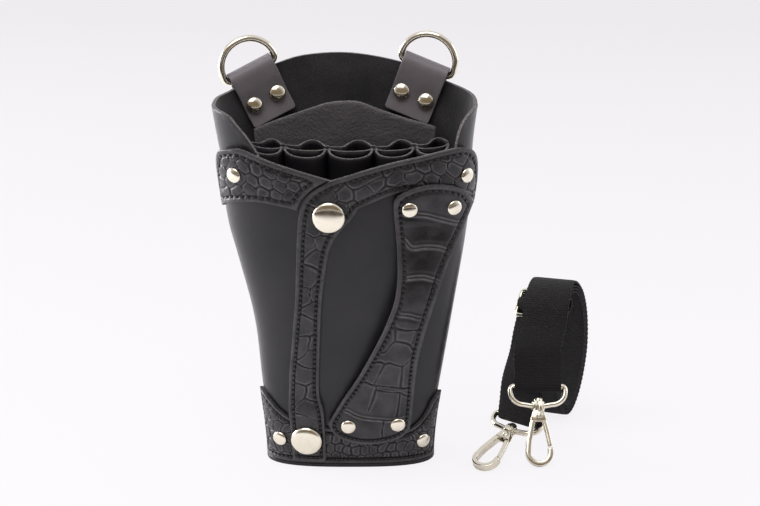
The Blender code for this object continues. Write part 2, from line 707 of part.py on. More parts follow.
def make_ring_tab(side, angle, height, lean, leather, metal):
    frame = tab_frame(angle, height, lean)
    path = [Vector((0.0, -TAB_TAIL, -TAB_FOLD_RADIUS))]
    for i in range(9):
        turn = math.radians(-90 + 22.5 * i)
        rise = RING_BAR_RISE + TAB_FOLD_RADIUS * math.cos(turn)
        path.append(Vector((0.0, rise, TAB_FOLD_RADIUS * math.sin(turn))))
    path.append(Vector((0.0, -TAB_TAIL, TAB_FOLD_RADIUS)))
    across = Vector((1.0, 0.0, 0.0))
    stations = along(path, across)
    sections = [flat_section(TAB_THICKNESS, 2 * TAB_HALF_WIDTH)] * len(stations)
    tab = make_object(f"ring_tab_{side}", swept(stations, sections), leather, frame)

    bar = frame @ Matrix.Translation((0.0, RING_BAR_RISE, 0.0))
    out = Vector((0.0, 0.0, 1.0))
    stations = along(ring_path(), out, closed=True)
    sections = [round_section(RING_WIRE, 8)] * len(stations)
    make_object(f"d_ring_{side}", swept(stations, sections, closed=True), metal, bar)

    frames = []
    leaf = TAB_FOLD_RADIUS + TAB_THICKNESS / 2 + GAP
    grip = 2 * leaf
    profile = rivet_profile(RIVET_CAP, RIVET_CAP_HEIGHT, RIVET_POST, RIVET_BACK, grip)
    for label, shift in (("inner", -1), ("outer", 1)):
        toward = shift if frame.to_translation().x * frame.col[0][0] > 0 else -shift
        spot = Matrix.Translation((toward * TAB_RIVET_SPACING / 2, 0.0, -leaf))
        place = frame @ spot @ Matrix.Rotation(math.pi, 4, "X")
        make_rivet(f"rivet_tab_{side}_{label}", place, profile, metal)
        frames.append(place)
    cutter = bored_holes(f"tab_{side}_holes", frames, RIVET_HOLE, CUTTER_DEPTH)
    add_boolean(tab, cutter, "DIFFERENCE")
    return frames


# ---- rolled strap ----


def roll_axes():
    """Across the strap, towards the roll's back and up the roll."""
    turn, tilt = math.radians(ROLL_TURN), math.radians(ROLL_TILT)
    flat = math.cos(tilt)
    across = Vector((math.cos(turn) * flat, -math.sin(turn) * flat, math.sin(tilt)))
    back = Vector((math.sin(turn), math.cos(turn), 0.0))
    up = across.cross(back)
    lean = math.radians(ROLL_LEAN)
    rise = up * math.cos(lean) + back * math.sin(lean)
    return across, back * math.cos(lean) - up * math.sin(lean), rise


def roll_point(angle, inset, standing_off=0.0):
    """Point of the roll's oval, 0 its top and 90 its front, moved off it square to its surface."""
    _, back, up = roll_axes()
    turn = math.radians(angle)
    depth, half_height = ROLL_HALF_DEPTH - inset, ROLL_HALF_HEIGHT - inset
    point = ROLL_CENTRE - back * depth * math.sin(turn) + up * half_height * math.cos(turn)
    square = up * math.cos(turn) / half_height - back * math.sin(turn) / depth
    return point + square.normalized() * standing_off


def spiral_inset(angle):
    return 2 * WEB_PITCH * (ROLL_LEAVES - angle) / 360


def sideways(angle, shift, starts, ends):
    """Sideways shift of a strand, which grows between two angles of the roll."""
    u = min(max((angle - starts) / (ends - starts), 0.0), 1.0)
    across, _, _ = roll_axes()
    return across * shift * u * u * (3 - 2 * u)


def slider_bump(angle, rise=SLIDER_BUMP, half_length=SLIDER_HALF_LENGTH):
    """How far a strand stands off the roll where it passes through, or over, the slider."""
    arc_length = math.radians(angle - SLIDER_ANGLE) * ROLL_RATE
    if abs(arc_length) >= half_length:
        return 0.0
    return rise * math.cos(math.pi * arc_length / (2 * half_length)) ** 2


def under_strand(angle, inset):
    """Outer turn of hook B's strand, which runs through the slider."""
    shift = sideways(angle, UNDER_SHIFT, UNDER_SHIFT_FROM, UNDER_SHIFT_TO)
    return roll_point(angle, inset, slider_bump(angle)) + shift


def over_strand(angle):
    """Hook A's strand, which lies over the other one and the slider."""
    shift = sideways(angle, OVER_SHIFT, OVER_SHIFT_FROM, OVER_SHIFT_TO)
    rise = slider_bump(angle, OVER_BUMP, OVER_HALF_LENGTH)
    return roll_point(angle, spiral_inset(angle), rise) + shift


def end_loop(bar, way, across, arriving):
    """The webbing's end: round the eye's bar and back along itself, as (centre, across) stations."""
    radius = EYE_WIRE + GAP + WEB_THICKNESS / 2 + 0.05
    side = across.cross(way).normalized() * arriving
    points = [bar - way * 14 + side * 0.9, bar - way * 7 + side * 1.5]
    for i in range(9):
        turn = math.radians(100 - 25 * i)
        points.append(bar + way * radius * math.cos(turn) + side * radius * math.sin(turn))
    points += [bar - way * 7 - side * 1.5, bar - way * 19 - side * 0.9]
    return points


def strap_stations():
    """Centres and width directions of the webbing, from hook A's end to hook B's end."""
    across, back, up = roll_axes()
    first = ROLL_LEAVES - 360 * ROLL_TURNS
    inner = spiral_inset(first)
    over = turns_between(LEAVING_ANGLE, 10.0, 8)
    strand_a = [over_strand(angle) for angle in over + turns_between(0.0, first, 15)]
    strand_b = []
    angles = turns_between(first, SLIDER_ANGLE - 18, 15)
    angles += turns_between(SLIDER_ANGLE - 14, SLIDER_ANGLE + 14, 3.5) + [SLIDER_ANGLE + 18, 76.0, 86.0]
    for angle in angles:
        near_fold = max(1 - (angle - first) / 40.0, 0.0)
        inset = spiral_inset(angle) + WEB_PITCH + 4.5 * near_fold**2
        strand_b.append(under_strand(angle, inset))
    fold = [roll_point(first - 13, inner + 1.2), roll_point(first - 17, inner + 3.9),
            roll_point(first - 11, inner + 6.4)]
    loop_a = end_loop(HOOK_A_BAR, HOOK_A_WAY, HOOK_A_ACROSS, -1)
    loop_b = end_loop(HOOK_B_BAR, STRAP_B_WAY, HOOK_B_ACROSS, -1)
    lead_a = eased(loop_a[0], -HOOK_A_WAY, strand_a[0], strand_a[1] - strand_a[0], LEAD_A_BULGE, 5)
    lead_b = eased(strand_b[-1], strand_b[-1] - strand_b[-2], loop_b[0], STRAP_B_WAY, LEAD_B_BULGE, 5)
    centres = loop_a[::-1] + lead_a + strand_a + fold + strand_b + lead_b + loop_b
    ways = [HOOK_A_ACROSS] * len(loop_a)
    turning = len(lead_a) + len(over)
    ways += [HOOK_A_ACROSS.lerp(across, (i + 1) / turning) for i in range(turning)]
    ways += [across] * (len(strand_a) - len(over) + len(fold) + len(strand_b))
    ways += [across.lerp(HOOK_B_ACROSS, (i + 1) / len(lead_b)) for i in range(len(lead_b))]
    ways += [HOOK_B_ACROSS] * len(loop_b)
    return centres, [way.normalized() for way in ways]


def eased(start, leaving, end, arriving, pull, count):
    """Points between two places, leaving and arriving in the given ways."""
    reach = (end - start).length * pull
    one, two = start + leaving.normalized() * reach, end - arriving.normalized() * reach
    found = []
    for i in range(1, count):
        u = i / count
        found.append(
            start * (1 - u) ** 3 + one * 3 * u * (1 - u) ** 2 + two * 3 * u * u * (1 - u) + end * u**3
        )
    return found


def turns_between(start, end, step):
    count = max(round(abs(end - start) / step), 1)
    return [start + (end - start) * i / count for i in range(count + 1)]


def make_webbing(material):
    centres, ways = strap_stations()
    stations = []
    last = len(centres) - 1
    for i, (centre, across) in enumerate(zip(centres, ways)):
        behind, ahead = centres[max(i - 1, 0)], centres[min(i + 1, last)]
        way = (ahead - behind).normalized()
        arrive = (centre - behind).normalized() if i else way
        out = way.cross(across).normalized() / max(way.dot(arrive), 0.75)
        stations.append((centre, across, out))
    sections = [flat_section(WEB_WIDTH, WEB_THICKNESS)] * len(stations)
    make_object("strap_webbing", swept(stations, sections), material)


def slider_frame():
    """Frame in the middle of the slider: X across the webbing, Z out of the roll."""
    across, _, _ = roll_axes()
    inset = spiral_inset(SLIDER_ANGLE) + WEB_PITCH
    centre = roll_point(SLIDER_ANGLE, inset, SLIDER_BUMP / 2 + 0.15)
    out = (centre - roll_point(SLIDER_ANGLE, inset)).normalized()
    axes = Matrix((across, out.cross(across), out)).transposed().to_4x4()
    shift = sideways(SLIDER_ANGLE, UNDER_SHIFT, UNDER_SHIFT_FROM, UNDER_SHIFT_TO)
    return Matrix.Translation(centre + shift) @ axes


def make_slider(metal):
    """Rectangular wire loop with a middle bar."""
    out = Vector((0.0, 0.0, 1.0))
    reach_x = WEB_WIDTH / 2 + 2.0 - SLIDER_CORNER
    reach_y = SLIDER_HALF_LENGTH - SLIDER_CORNER
    path = []
    for quarter, (x, y) in enumerate(((1, 1), (-1, 1), (-1, -1), (1, -1))):
        start = 90 * quarter
        path += arc((x * reach_x, y * reach_y), SLIDER_CORNER, start, start + 90, 2)
    stations = along(path, out, closed=True)
    bm = swept(stations, [round_section(SLIDER_WIRE, 6)] * len(stations), closed=True)
    frame = slider_frame()
    slider = make_object("strap_slider", bm, metal, frame)
    bar_end = Vector((reach_x + SLIDER_CORNER, 0.0, 0.0))
    stations = along([-bar_end, bar_end], out)
    bar = swept(stations, [round_section(SLIDER_WIRE * 0.95, 6)] * 2)
    add_boolean(slider, make_object("strap_slider_bar", bar, None, frame), "UNION")


# ---- swivel snap hooks ----


def hook_frame(bar, way, across):
    """Frame at the eye's bar: X along the bar, Y towards the hook, Z across both."""
    depth = across.cross(way).normalized()
    axes = Matrix((across, way.normalized(), depth)).transposed().to_4x4()
    return Matrix.Translation(bar) @ axes


def make_eye(name, frame, metal):
    out = Vector((0.0, 0.0, 1.0))
    reach = EYE_HALF_WIDTH - EYE_CORNER
    side = arc((reach, EYE_CORNER), EYE_CORNER, -90, 0, 3) + arc((7.4, 2.6), 7.0, 12, 90, 4)
    right = side + [Vector((2.2, EYE_COLLAR, 0.0))]
    left = [Vector((-p.x, p.y, 0.0)) for p in reversed(right)]
    path = left + right
    stations = along(path, out)
    bm = swept(stations, [round_section(EYE_WIRE, 8)] * len(stations))
    eye = make_object(name, bm, metal, frame)
    collar = [(1.55, -2.0), (3.0, -2.0), (3.3, -1.2), (3.3, 1.2), (3.0, 2.0), (1.55, 2.0), (1.55, -2.0)]
    place = frame @ Matrix.Translation((0.0, EYE_COLLAR, 0.0)) @ Matrix.Rotation(-math.pi / 2, 4, "X")
    union = make_object(name + "_collar", turned(collar, 12), None, place)
    add_boolean(eye, union, "UNION")
    bore = bored_holes(name + "_bore", [place], 1.5, 9.0)
    add_boolean(eye, bore, "DIFFERENCE")


def make_hook(letter, frame, metal, steel):
    out = Vector((0.0, 0.0, 1.0))
    swivel = frame @ Matrix.Translation((0.0, EYE_COLLAR, 0.0))
    # From here on Y is measured from the swivel.
    pivot = HOOK_PIVOT - EYE_COLLAR
    bottom = HOOK_BOTTOM - EYE_COLLAR
    path = [Vector((-1.9, pivot - 1.6, 0.0)), Vector((-3.6, pivot + 7.0, 0.0))]
    path += arc((0.0, bottom), HOOK_RADIUS, 187, 0, 9)
    path += [Vector((HOOK_RADIUS - 0.1, bottom - 2.6, 0.0))]
    stations = along(path, out)
    bm = swept(stations, [flat_section(HOOK_WIDTH, HOOK_DEPTH)] * len(stations))
    hook = make_object(f"hook_{letter}", bm, metal, swivel)

    block = bmesh.new()
    bmesh.ops.create_cube(block, size=1.0)
    bmesh.ops.scale(block, vec=(7.4, 8.2, 5.4), verts=block.verts)
    bmesh.ops.translate(block, vec=(0.0, pivot + 0.6, 0.0), verts=block.verts)
    add_boolean(hook, make_object(f"hook_{letter}_block", block, None, swivel), "UNION")
    stud = [(0.0, -4.0), (2.3, -3.9), (2.3, -2.3), (1.2, -2.3), (1.2, 3.4), (0.0, 3.4)]
    turn = swivel @ Matrix.Rotation(-math.pi / 2, 4, "X")
    add_boolean(hook, make_object(f"hook_{letter}_stud", turned(stud, 12), None, turn), "UNION")
    slot = bmesh.new()
    bmesh.ops.create_cube(slot, size=1.0)
    bmesh.ops.scale(slot, vec=(9.0, 7.8, 3.0), verts=slot.verts)
    bmesh.ops.translate(slot, vec=(2.2, pivot + 1.6, 0.0), verts=slot.verts)
    add_boolean(hook, make_object(f"hook_{letter}_slot", slot, None, swivel), "DIFFERENCE")
    axis = swivel @ Matrix.Translation((GATE_AXIS_SHIFT, pivot, 0.0))
    bore = bored_holes(f"hook_{letter}_pin_hole", [axis], PIN_HOLE, CUTTER_DEPTH)
    add_boolean(hook, bore, "DIFFERENCE")

    pin = [
        (0.0, 3.7), (1.2, 3.6), (1.6, 3.0), (0.8, 3.0), (0.8, -3.0), (1.6, -3.0), (1.2, -3.6),
        (0.0, -3.7),
    ]
    make_rivet(f"hook_{letter}_pin", axis, pin, metal)
    make_gate(letter, axis, Vector((HOOK_RADIUS - 0.7, bottom - pivot - 3.3, 0.0)), metal)
    make_spring(letter, axis, steel)


def make_gate(letter, axis, tip, metal):
    """The gate turns on the pin; its boss fills the lower part of the slot, below the spring."""
    root = [(1.1, -1.2), (1.9, -1.2), (1.9, 0.2), (1.1, 0.2), (1.1, -1.2)]
    gate = make_object(f"hook_{letter}_gate", turned(root, 12), metal, axis)
    start = tip * 0.095
    stations = along([start, tip], Vector((0.0, 0.0, 1.0)))
    blade = swept(stations, [[(-0.9, -1.1), (0.9, -1.1), (0.9, 0.1), (-0.9, 0.1)]] * 2)
    add_boolean(gate, make_object(f"hook_{letter}_blade", blade, None, axis), "UNION")
    bore = bored_holes(f"hook_{letter}_gate_bore", [axis], PIN_HOLE, CUTTER_DEPTH)
    add_boolean(gate, bore, "DIFFERENCE")


def make_spring(letter, axis, metal):
    """Small coil spring round the gate's pin."""
    steps = 20
    up = Vector((0.0, 0.0, 1.0))
    stations = []
    for i in range(steps + 1):
        turn = math.tau * SPRING_TURNS * i / steps
        radial = Vector((math.cos(turn), math.sin(turn), 0.0))
        height = SPRING_FOOT + SPRING_LENGTH * i / steps
        stations.append((radial * SPRING_RADIUS + up * height, radial, up))
    bm = swept(stations, [round_section(SPRING_WIRE, 6)] * len(stations))
    make_object(f"hook_{letter}_spring", bm, metal, axis)


# ---- the whole object ----


def build():
    clear_scene()
    smooth = make_material("smooth_leather", (0.020, 0.020, 0.023), 0.5)
    croc = make_material("crocodile_leather", (0.014, 0.013, 0.015), 0.55)
    pebbled = make_material("pebbled_leather", (0.016, 0.016, 0.017), 0.4)
    nickel = make_material("nickel_plate", (0.72, 0.70, 0.64), 0.22, 1.0)
    webbing = make_material("polyester_webbing", (0.010, 0.009, 0.010), 0.85)
    steel = make_material("spring_steel", (0.55, 0.55, 0.55), 0.3, 1.0)

    pieces = make_wall_leather(smooth, croc)
    make_sole(smooth)
    make_tubes(smooth)
    make_divider(pebbled)
    holes = make_wall_fasteners(nickel)
    for side, angle, height, lean in RING_TABS:
        frames = make_ring_tab(side, angle, height, lean, smooth, nickel)
        holes["back_shell"] += [(frame, RIVET_HOLE) for frame in frames]
    cut_holes(pieces, holes)

    make_webbing(webbing)
    make_slider(nickel)
    for letter, bar, way, across in (
        ("a", HOOK_A_BAR, HOOK_A_WAY, HOOK_A_ACROSS),
        ("b", HOOK_B_BAR, HOOK_B_WAY, HOOK_B_ACROSS),
    ):
        frame = hook_frame(bar, way, across)
        make_eye(f"hook_{letter}_eye", frame, nickel)
        make_hook(letter, frame, nickel, steel)


build()
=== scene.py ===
import math

import bmesh
import bpy
import numpy as np
from mathutils import Matrix, Vector


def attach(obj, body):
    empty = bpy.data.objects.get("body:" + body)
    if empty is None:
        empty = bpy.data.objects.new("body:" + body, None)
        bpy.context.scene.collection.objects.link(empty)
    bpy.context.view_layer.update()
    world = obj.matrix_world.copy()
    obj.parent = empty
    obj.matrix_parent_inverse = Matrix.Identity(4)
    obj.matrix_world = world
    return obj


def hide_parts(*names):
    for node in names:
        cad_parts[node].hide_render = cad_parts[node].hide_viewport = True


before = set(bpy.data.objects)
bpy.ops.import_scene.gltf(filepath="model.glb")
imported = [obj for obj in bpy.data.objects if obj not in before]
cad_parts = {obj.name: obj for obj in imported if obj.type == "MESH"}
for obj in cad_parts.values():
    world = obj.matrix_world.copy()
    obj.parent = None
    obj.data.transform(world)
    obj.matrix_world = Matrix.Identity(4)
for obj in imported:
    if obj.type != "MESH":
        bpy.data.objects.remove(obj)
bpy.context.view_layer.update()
mm = 0.001  # lengths and places below are in millimetres
chance = np.random.default_rng(7)

# camera, light and floor

view = {"place": (15.6, -785.5, 399.1), "tilt": 70.0, "lens": 77.447}
studio = {
    "sky": "fbfaff", "front": "8a7c66", "floor": "f4f3f6", "floorNear": "f8f6f8", "floorFar": "ebe8ec",
    "floorRadius": 9000.0, "tones": (-50.0, 1100.0), "floorGlow": 0.92,
    "table": "4a4238", "paperEnds": 300.0, "fade": 220.0, "aim": 120.0,
    # the darker front, by the parts of a direction: how far ahead, and how high it starts and ends
    "ahead": (-0.25, -0.75), "above": (-0.02, 0.10), "below": (0.92, 0.62),
    # each lamp: its place, its size and its power in watts
    "lamps": {
        "top_softbox": ((-300.0, -650.0, 1700.0), 1400.0, 16.0),
        "left_softbox": ((-1500.0, 380.0, 330.0), 900.0, 46.0),
        "right_softbox": ((1500.0, 450.0, 520.0), 1000.0, 6.0),
    },
}


def linear(code):
    # sRGB hex to the linear colour that a socket takes
    parts = [int(code[i:i + 2], 16) / 255 for i in (0, 2, 4)]
    return tuple(c / 12.92 if c < 0.04045 else ((c + 0.055) / 1.055) ** 2.4 for c in parts) + (1.0,)


def plug(tree, node, sockets):
    # sockets is a list in their order, or a dictionary; a node stands for its first output
    for key, value in sockets.items() if isinstance(sockets, dict) else enumerate(sockets):
        if isinstance(value, bpy.types.Node):
            value = value.outputs[0]
        if isinstance(value, bpy.types.NodeSocket):
            tree.links.new(value, node.inputs[key])
        else:
            node.inputs[key].default_value = value


def addNode(tree, kind, sockets=(), **settings):
    node = tree.nodes.new("ShaderNode" + kind)
    for key, value in settings.items():
        setattr(node, key, value)
    plug(tree, node, sockets)
    return node


def newMaterial(name, colour="808080", roughness=0.5, metallic=0.0):
    # also gives the place on the piece, which most patterns read
    material = bpy.data.materials.new(name)
    material.use_nodes = True
    tree = material.node_tree
    shader = tree.nodes["Principled BSDF"]
    plug(tree, shader, {"Base Color": linear(colour), "Roughness": roughness, "Metallic": metallic})
    return material, tree, shader, addNode(tree, "TexCoord").outputs["Object"]


def addObject(name, data, place=(0.0, 0.0, 0.0)):
    made = bpy.data.objects.new(name, data)
    made.location = Vector(place) * mm
    bpy.context.scene.collection.objects.link(made)
    return made


def addCamera():
    data = bpy.data.cameras.new("camera")
    data.lens = view["lens"]
    camera = addObject("camera", data, view["place"])
    camera.rotation_euler = (math.radians(view["tilt"]), 0.0, 0.0)
    bpy.context.scene.camera = camera
    bpy.context.scene.view_settings.view_transform = "Standard"


def addSky():
    # pale sky all round, with the darker warm side of the room in front of the object
    world = bpy.data.worlds.new("studio")
    bpy.context.scene.world = world
    world.use_nodes = True
    tree = world.node_tree
    ways = addNode(tree, "SeparateXYZ", [addNode(tree, "TexCoord").outputs["Generated"]])
    ahead, above, below = (
        addNode(tree, "MapRange", [ways.outputs[axis], *studio[key], 0.0, 1.0])
        for axis, key in (("Y", "ahead"), ("Z", "above"), ("Z", "below"))
    )
    front = addNode(tree, "Math", [ahead, above], operation="MULTIPLY")
    front = addNode(tree, "Math", [front, below], operation="MULTIPLY")
    # sockets 0, 6 and 7 of a Mix are its factor and its two colours, and output 2 is the result;
    # the first output of Light Path is Is Camera Ray, so the camera sees the far floor's tone all round
    colours = {0: front, 6: linear(studio["sky"]), 7: linear(studio["front"])}
    light = addNode(tree, "Mix", colours, data_type="RGBA")
    colours = {0: addNode(tree, "LightPath"), 6: light.outputs[2], 7: linear(studio["floorFar"])}
    seen = addNode(tree, "Mix", colours, data_type="RGBA")
    plug(tree, tree.nodes["Background"], {"Color": seen.outputs[2], "Strength": 1.0})


def addLamps():
    for name, (spot, size, power) in studio["lamps"].items():
        lamp = bpy.data.lights.new(name, "AREA")
        lamp.energy = power
        lamp.size = size * mm
        holder = addObject(name, lamp, spot)
        aim = Vector((0.0, 0.0, studio["aim"] * mm)) - holder.location
        holder.rotation_euler = aim.to_track_quat("-Z", "Y").to_euler()


def addFloor():
    bm = bmesh.new()
    bmesh.ops.create_circle(bm, cap_ends=True, segments=64, radius=studio["floorRadius"] * mm)
    mesh = bpy.data.meshes.new("floor")
    bm.to_mesh(mesh)
    bm.free()
    paper, tree, shader, spot = newMaterial("matt backdrop paper", studio["floor"], 0.9)
    mesh.materials.append(paper)
    ways = addNode(tree, "SeparateXYZ", [spot])
    # the paper ends in front of the object, on a dark table that the camera never sees
    edge = studio["paperEnds"] * mm
    table = addNode(tree, "MapRange", [ways.outputs["Y"], -edge, -edge - studio["fade"] * mm, 0.0, 1.0])
    colours = {0: table, 6: linear(studio["floor"]), 7: linear(studio["table"])}
    paint = addNode(tree, "Mix", colours, data_type="RGBA")
    plug(tree, shader, {"Base Color": paint.outputs[2], "Specular IOR Level": 0.1})
    # the camera sees the overlit paper almost without shadow, and nothing else is lit by that
    starts, ends = (value * mm for value in studio["tones"])
    far = addNode(tree, "MapRange", [ways.outputs["Y"], starts, ends, 0.0, 1.0])
    colours = {0: far, 6: linear(studio["floorNear"]), 7: linear(studio["floorFar"])}
    tone = addNode(tree, "Mix", colours, data_type="RGBA")
    glow = addNode(tree, "Emission", [tone.outputs[2]])
    seen = addNode(tree, "Math", [addNode(tree, "LightPath"), studio["floorGlow"]], operation="MULTIPLY")
    plug(tree, tree.nodes["Material Output"], {"Surface": addNode(tree, "MixShader", [seen, shader, glow])})
    addObject("floor", mesh, (0.0, 0.0, -0.3))


addCamera()
addSky()
addLamps()
addFloor()
print("camera, light and floor")

# finishes

# Full-grain cowhide, dyed black and lightly buffed: satin, with a fine pore grain.
smoothLook = {
    "colour": "131215", "wearAndHighlight": "454246", "roughness": 0.34, "specular": 0.33, "grain": 0.8,
    "grainDepth": 0.035, "patch": 26.0, "fade": 0.12, "crease": 0.0,
}
# The same hide where it is bent and handled: duller, and painted a lighter grey that stands in for the light
# from above falling on the tabs.
tabLook = {
    "colour": "686368", "wearAndHighlight": "837e82", "roughness": 0.42, "specular": 0.4, "grain": 0.8,
    "grainDepth": 0.05, "patch": 14.0, "fade": 0.35, "crease": 0.0,
}
# The same hide pressed with crocodile scales: the scales are polished and their valleys stay dull; the
# valleys are painted near black as painted shade, and the scales' lips lighter, partly as wear and partly as
# painted highlight.
crocLook = {
    "colour": "0d0c0e", "wearAndHighlight": "6a666a", "roughness": 0.3, "specular": 0.36, "grain": 0.7,
    "grainDepth": 0.05, "patch": 9.0, "fade": 0.2, "crease": 0.4,
}
# Hide printed with a coarse pebble grain under a glossier finish: broken, sparkling highlights; its base
# colour is a lighter grey that paints in the broad highlight of the top light.
pebbledLook = {
    "colour": "4a474b", "wearAndHighlight": "6f6c70", "roughness": 0.33, "specular": 0.6, "grain": 1.4,
    "grainDepth": 0.24, "patch": 20.0, "fade": 0.3, "crease": 0.0,
}


def leatherMaterial(name, look):
    material, tree, shader, spot = newMaterial(name, look["colour"], look["roughness"])
    grain = 1 / (look["grain"] * mm)
    cells = addNode(tree, "TexVoronoi", {"Vector": spot, "Scale": grain}, feature="SMOOTH_F1")
    pores = addNode(tree, "TexNoise", {"Vector": spot, "Scale": grain * 2.5, "Detail": 3.0})
    wrinkles = addNode(tree, "TexNoise", {"Vector": spot, "Scale": grain / 5, "Detail": 4.0})
    relief = addNode(tree, "Math", [cells, pores], operation="ADD")
    relief = addNode(tree, "Math", [wrinkles, 1.6, relief], operation="MULTIPLY_ADD")
    bump = addNode(tree, "Bump", {"Height": relief, "Distance": look["grainDepth"] * mm})
    patches = addNode(tree, "TexNoise", {"Vector": spot, "Scale": 1 / (look["patch"] * mm)})
    faded = addNode(tree, "MapRange", [patches, 0.35, 0.75, 0.0, look["fade"]])
    # the first mask read here is 1 along a rim and on the scales' lips and ridges, and lightens the colour
    # there, partly as wear and partly as painted highlight; the second is 1 at the bottom of a valley or a
    # needle hole, and darkens the colour there to near black as painted shade and makes it duller
    wearAndHighlight = addNode(tree, "Attribute", attribute_name="wearAndHighlight").outputs["Fac"]
    grooveShade = addNode(tree, "Attribute", attribute_name="grooveShade").outputs["Fac"]
    # the rim mask, broken up by the wrinkles, mixes in the lighter colour: partly wear, partly painted
    # highlight
    rubbedAndHighlit = addNode(tree, "MapRange", [wrinkles, 0.3, 0.7, 0.55, 1.25])
    rubbedAndHighlit = addNode(tree, "Math", [wearAndHighlight, rubbedAndHighlit], operation="MULTIPLY")
    colour = linear(look["colour"])
    for factor, code in ((faded, look["wearAndHighlight"]), (rubbedAndHighlit, look["wearAndHighlight"]), (grooveShade, "030303")):
        colour = addNode(tree, "Mix", {0: factor, 6: colour, 7: linear(code)}, data_type="RGBA").outputs[2]
    shine = addNode(tree, "MapRange", [pores, 0.3, 0.7, look["roughness"] - 0.05, look["roughness"] + 0.07])
    shine = addNode(tree, "Math", [grooveShade, look["crease"], shine], operation="MULTIPLY_ADD")
    plug(tree, shader, {
        "Base Color": colour, "Roughness": shine, "Normal": bump, "Specular IOR Level": look["specular"],
    })
    return material


# Cut edge of the hide, sanded: grey fibres, matt. On the trims it is dyed.
cutLook = {
    "roughness": 0.85, "grain": 0.9, "span": (0.3, 0.7), "depth": 0.12, "dark": "1a1819", "light": "7b7776",
}
dyedLook = {**cutLook, "dark": "0c0c0d", "light": "4d4a4b"}
# Flesh side of the hide, dyed through: a short dull nap, brushed in broad patches.
fleshLook = {
    "roughness": 0.9, "grain": 0.6, "span": (0.15, 0.4), "depth": 0.1, "dark": "161517", "light": "322f33",
    "patch": 18.0, "sheen": 0.15,
}


def fibreMaterial(name, look):
    material, tree, shader, spot = newMaterial(name, look["light"], look["roughness"])
    fibres = addNode(tree, "TexNoise", {"Vector": spot, "Scale": 1 / (look["grain"] * mm), "Detail": 5.0})
    level = fibres
    if "patch" in look:
        scale = 1 / (look["patch"] * mm)
        brushed = addNode(tree, "TexNoise", {"Vector": spot, "Scale": scale, "Detail": 2.0})
        level = addNode(tree, "Math", [fibres, brushed], operation="MULTIPLY")
        plug(tree, shader, {"Sheen Weight": look["sheen"], "Sheen Roughness": 0.5})
    level = addNode(tree, "MapRange", [level, *look["span"], 0.0, 1.0])
    colours = {0: level, 6: linear(look["dark"]), 7: linear(look["light"])}
    colour = addNode(tree, "Mix", colours, data_type="RGBA")
    bump = addNode(tree, "Bump", {"Height": fibres, "Distance": look["depth"] * mm})
    plug(tree, shader, {"Base Color": colour.outputs[2], "Normal": bump})
    return material


def nickelMaterial():
    # bright nickel plate on steel, tumbled: warm mirror with faint haze and hairlines
    material, tree, shader, spot = newMaterial("nickel plate", "d9d3c3", 0.16, 1.0)
    haze = addNode(tree, "TexNoise", {"Vector": spot, "Scale": 1 / (2.5 * mm), "Detail": 4.0})
    rough = addNode(tree, "MapRange", [haze, 0.3, 0.7, 0.10, 0.22])
    colour = addNode(tree, "Mix", {0: haze, 6: linear("c9c2b0"), 7: linear("dfd9cb")}, data_type="RGBA")
    scuffs = addNode(tree, "TexNoise", {"Vector": spot, "Scale": 1 / (0.5 * mm), "Detail": 2.0})
    bump = addNode(tree, "Bump", {"Height": scuffs, "Distance": 0.006 * mm})
    plug(tree, shader, {"Base Color": colour.outputs[2], "Roughness": rough, "Normal": bump})
    return material


def springMaterial():
    # drawn spring wire, bare: grey, with fine drawing lines
    material, tree, shader, spot = newMaterial("drawn spring steel", "a3a3a2", 0.3, 1.0)
    lines = addNode(tree, "TexNoise", {"Vector": spot, "Scale": 1 / (0.2 * mm)})
    plug(tree, shader, {"Roughness": addNode(tree, "MapRange", [lines, 0.3, 0.7, 0.25, 0.4])})
    return material


def threadMaterial():
    # bonded nylon sewing thread, waxed: tight twist, slight shine
    material, tree, shader, spot = newMaterial("waxed black thread", "0e0d0f", 0.36)
    twist = addNode(tree, "TexNoise", {"Vector": spot, "Scale": 1 / (0.35 * mm), "Detail": 2.0})
    colour = addNode(tree, "Mix", {0: twist, 6: linear("060607"), 7: linear("1d1c1e")}, data_type="RGBA")
    bump = addNode(tree, "Bump", {"Height": twist, "Distance": 0.08 * mm})
    plug(tree, shader, {"Base Color": colour.outputs[2], "Normal": bump})
    return material


# the webbing's colour, and a lighter one where the weave stands up: random fuzz in the yarn, and painted
# highlight on the ribs
webLook = {"colour": "0a090a", "high": "1f1c1e", "rib": 1.3, "yarn": 0.9, "depth": 0.14}


def webbingMaterial():
    # polyester webbing, plain ribbed weave: matt, cross ribs with the warp yarns running over them.
    # The map "weave" is in metres: U along the strap, V across it.
    material, tree, shader, _ = newMaterial("ribbed polyester webbing", webLook["colour"], 0.85)
    weave = addNode(tree, "UVMap", uv_map="weave").outputs["UV"]
    ways = addNode(tree, "SeparateXYZ", [weave])
    waves = []
    for axis, pitch in (("X", webLook["rib"]), ("Y", webLook["yarn"])):
        turns = addNode(tree, "Math", [ways.outputs[axis], math.tau / (pitch * mm)], operation="MULTIPLY")
        waves.append(addNode(tree, "Math", [turns], operation="SINE"))
    crossed = addNode(tree, "Math", waves, operation="MULTIPLY")
    relief = addNode(tree, "Math", [waves[0], 0.6, crossed], operation="MULTIPLY_ADD")
    fuzz = addNode(tree, "TexNoise", {"Vector": weave, "Scale": 1 / (0.5 * mm), "Detail": 3.0})
    relief = addNode(tree, "Math", [fuzz, 1.4, relief], operation="MULTIPLY_ADD")
    bump = addNode(tree, "Bump", {"Height": relief, "Distance": webLook["depth"] * mm})
    # lighter where the weave stands up: random fuzz in the yarn, and painted highlight on the ribs with
    # painted shade between them
    bright = addNode(tree, "MapRange", [relief, -0.6, 2.2, 0.0, 1.0])
    colours = {0: bright, 6: linear(webLook["colour"]), 7: linear(webLook["high"])}
    colour = addNode(tree, "Mix", colours, data_type="RGBA")
    plug(tree, shader, {
        "Base Color": colour.outputs[2], "Normal": bump, "Specular IOR Level": 0.22, "Sheen Weight": 0.03,
        "Sheen Roughness": 0.4,
    })
    return material


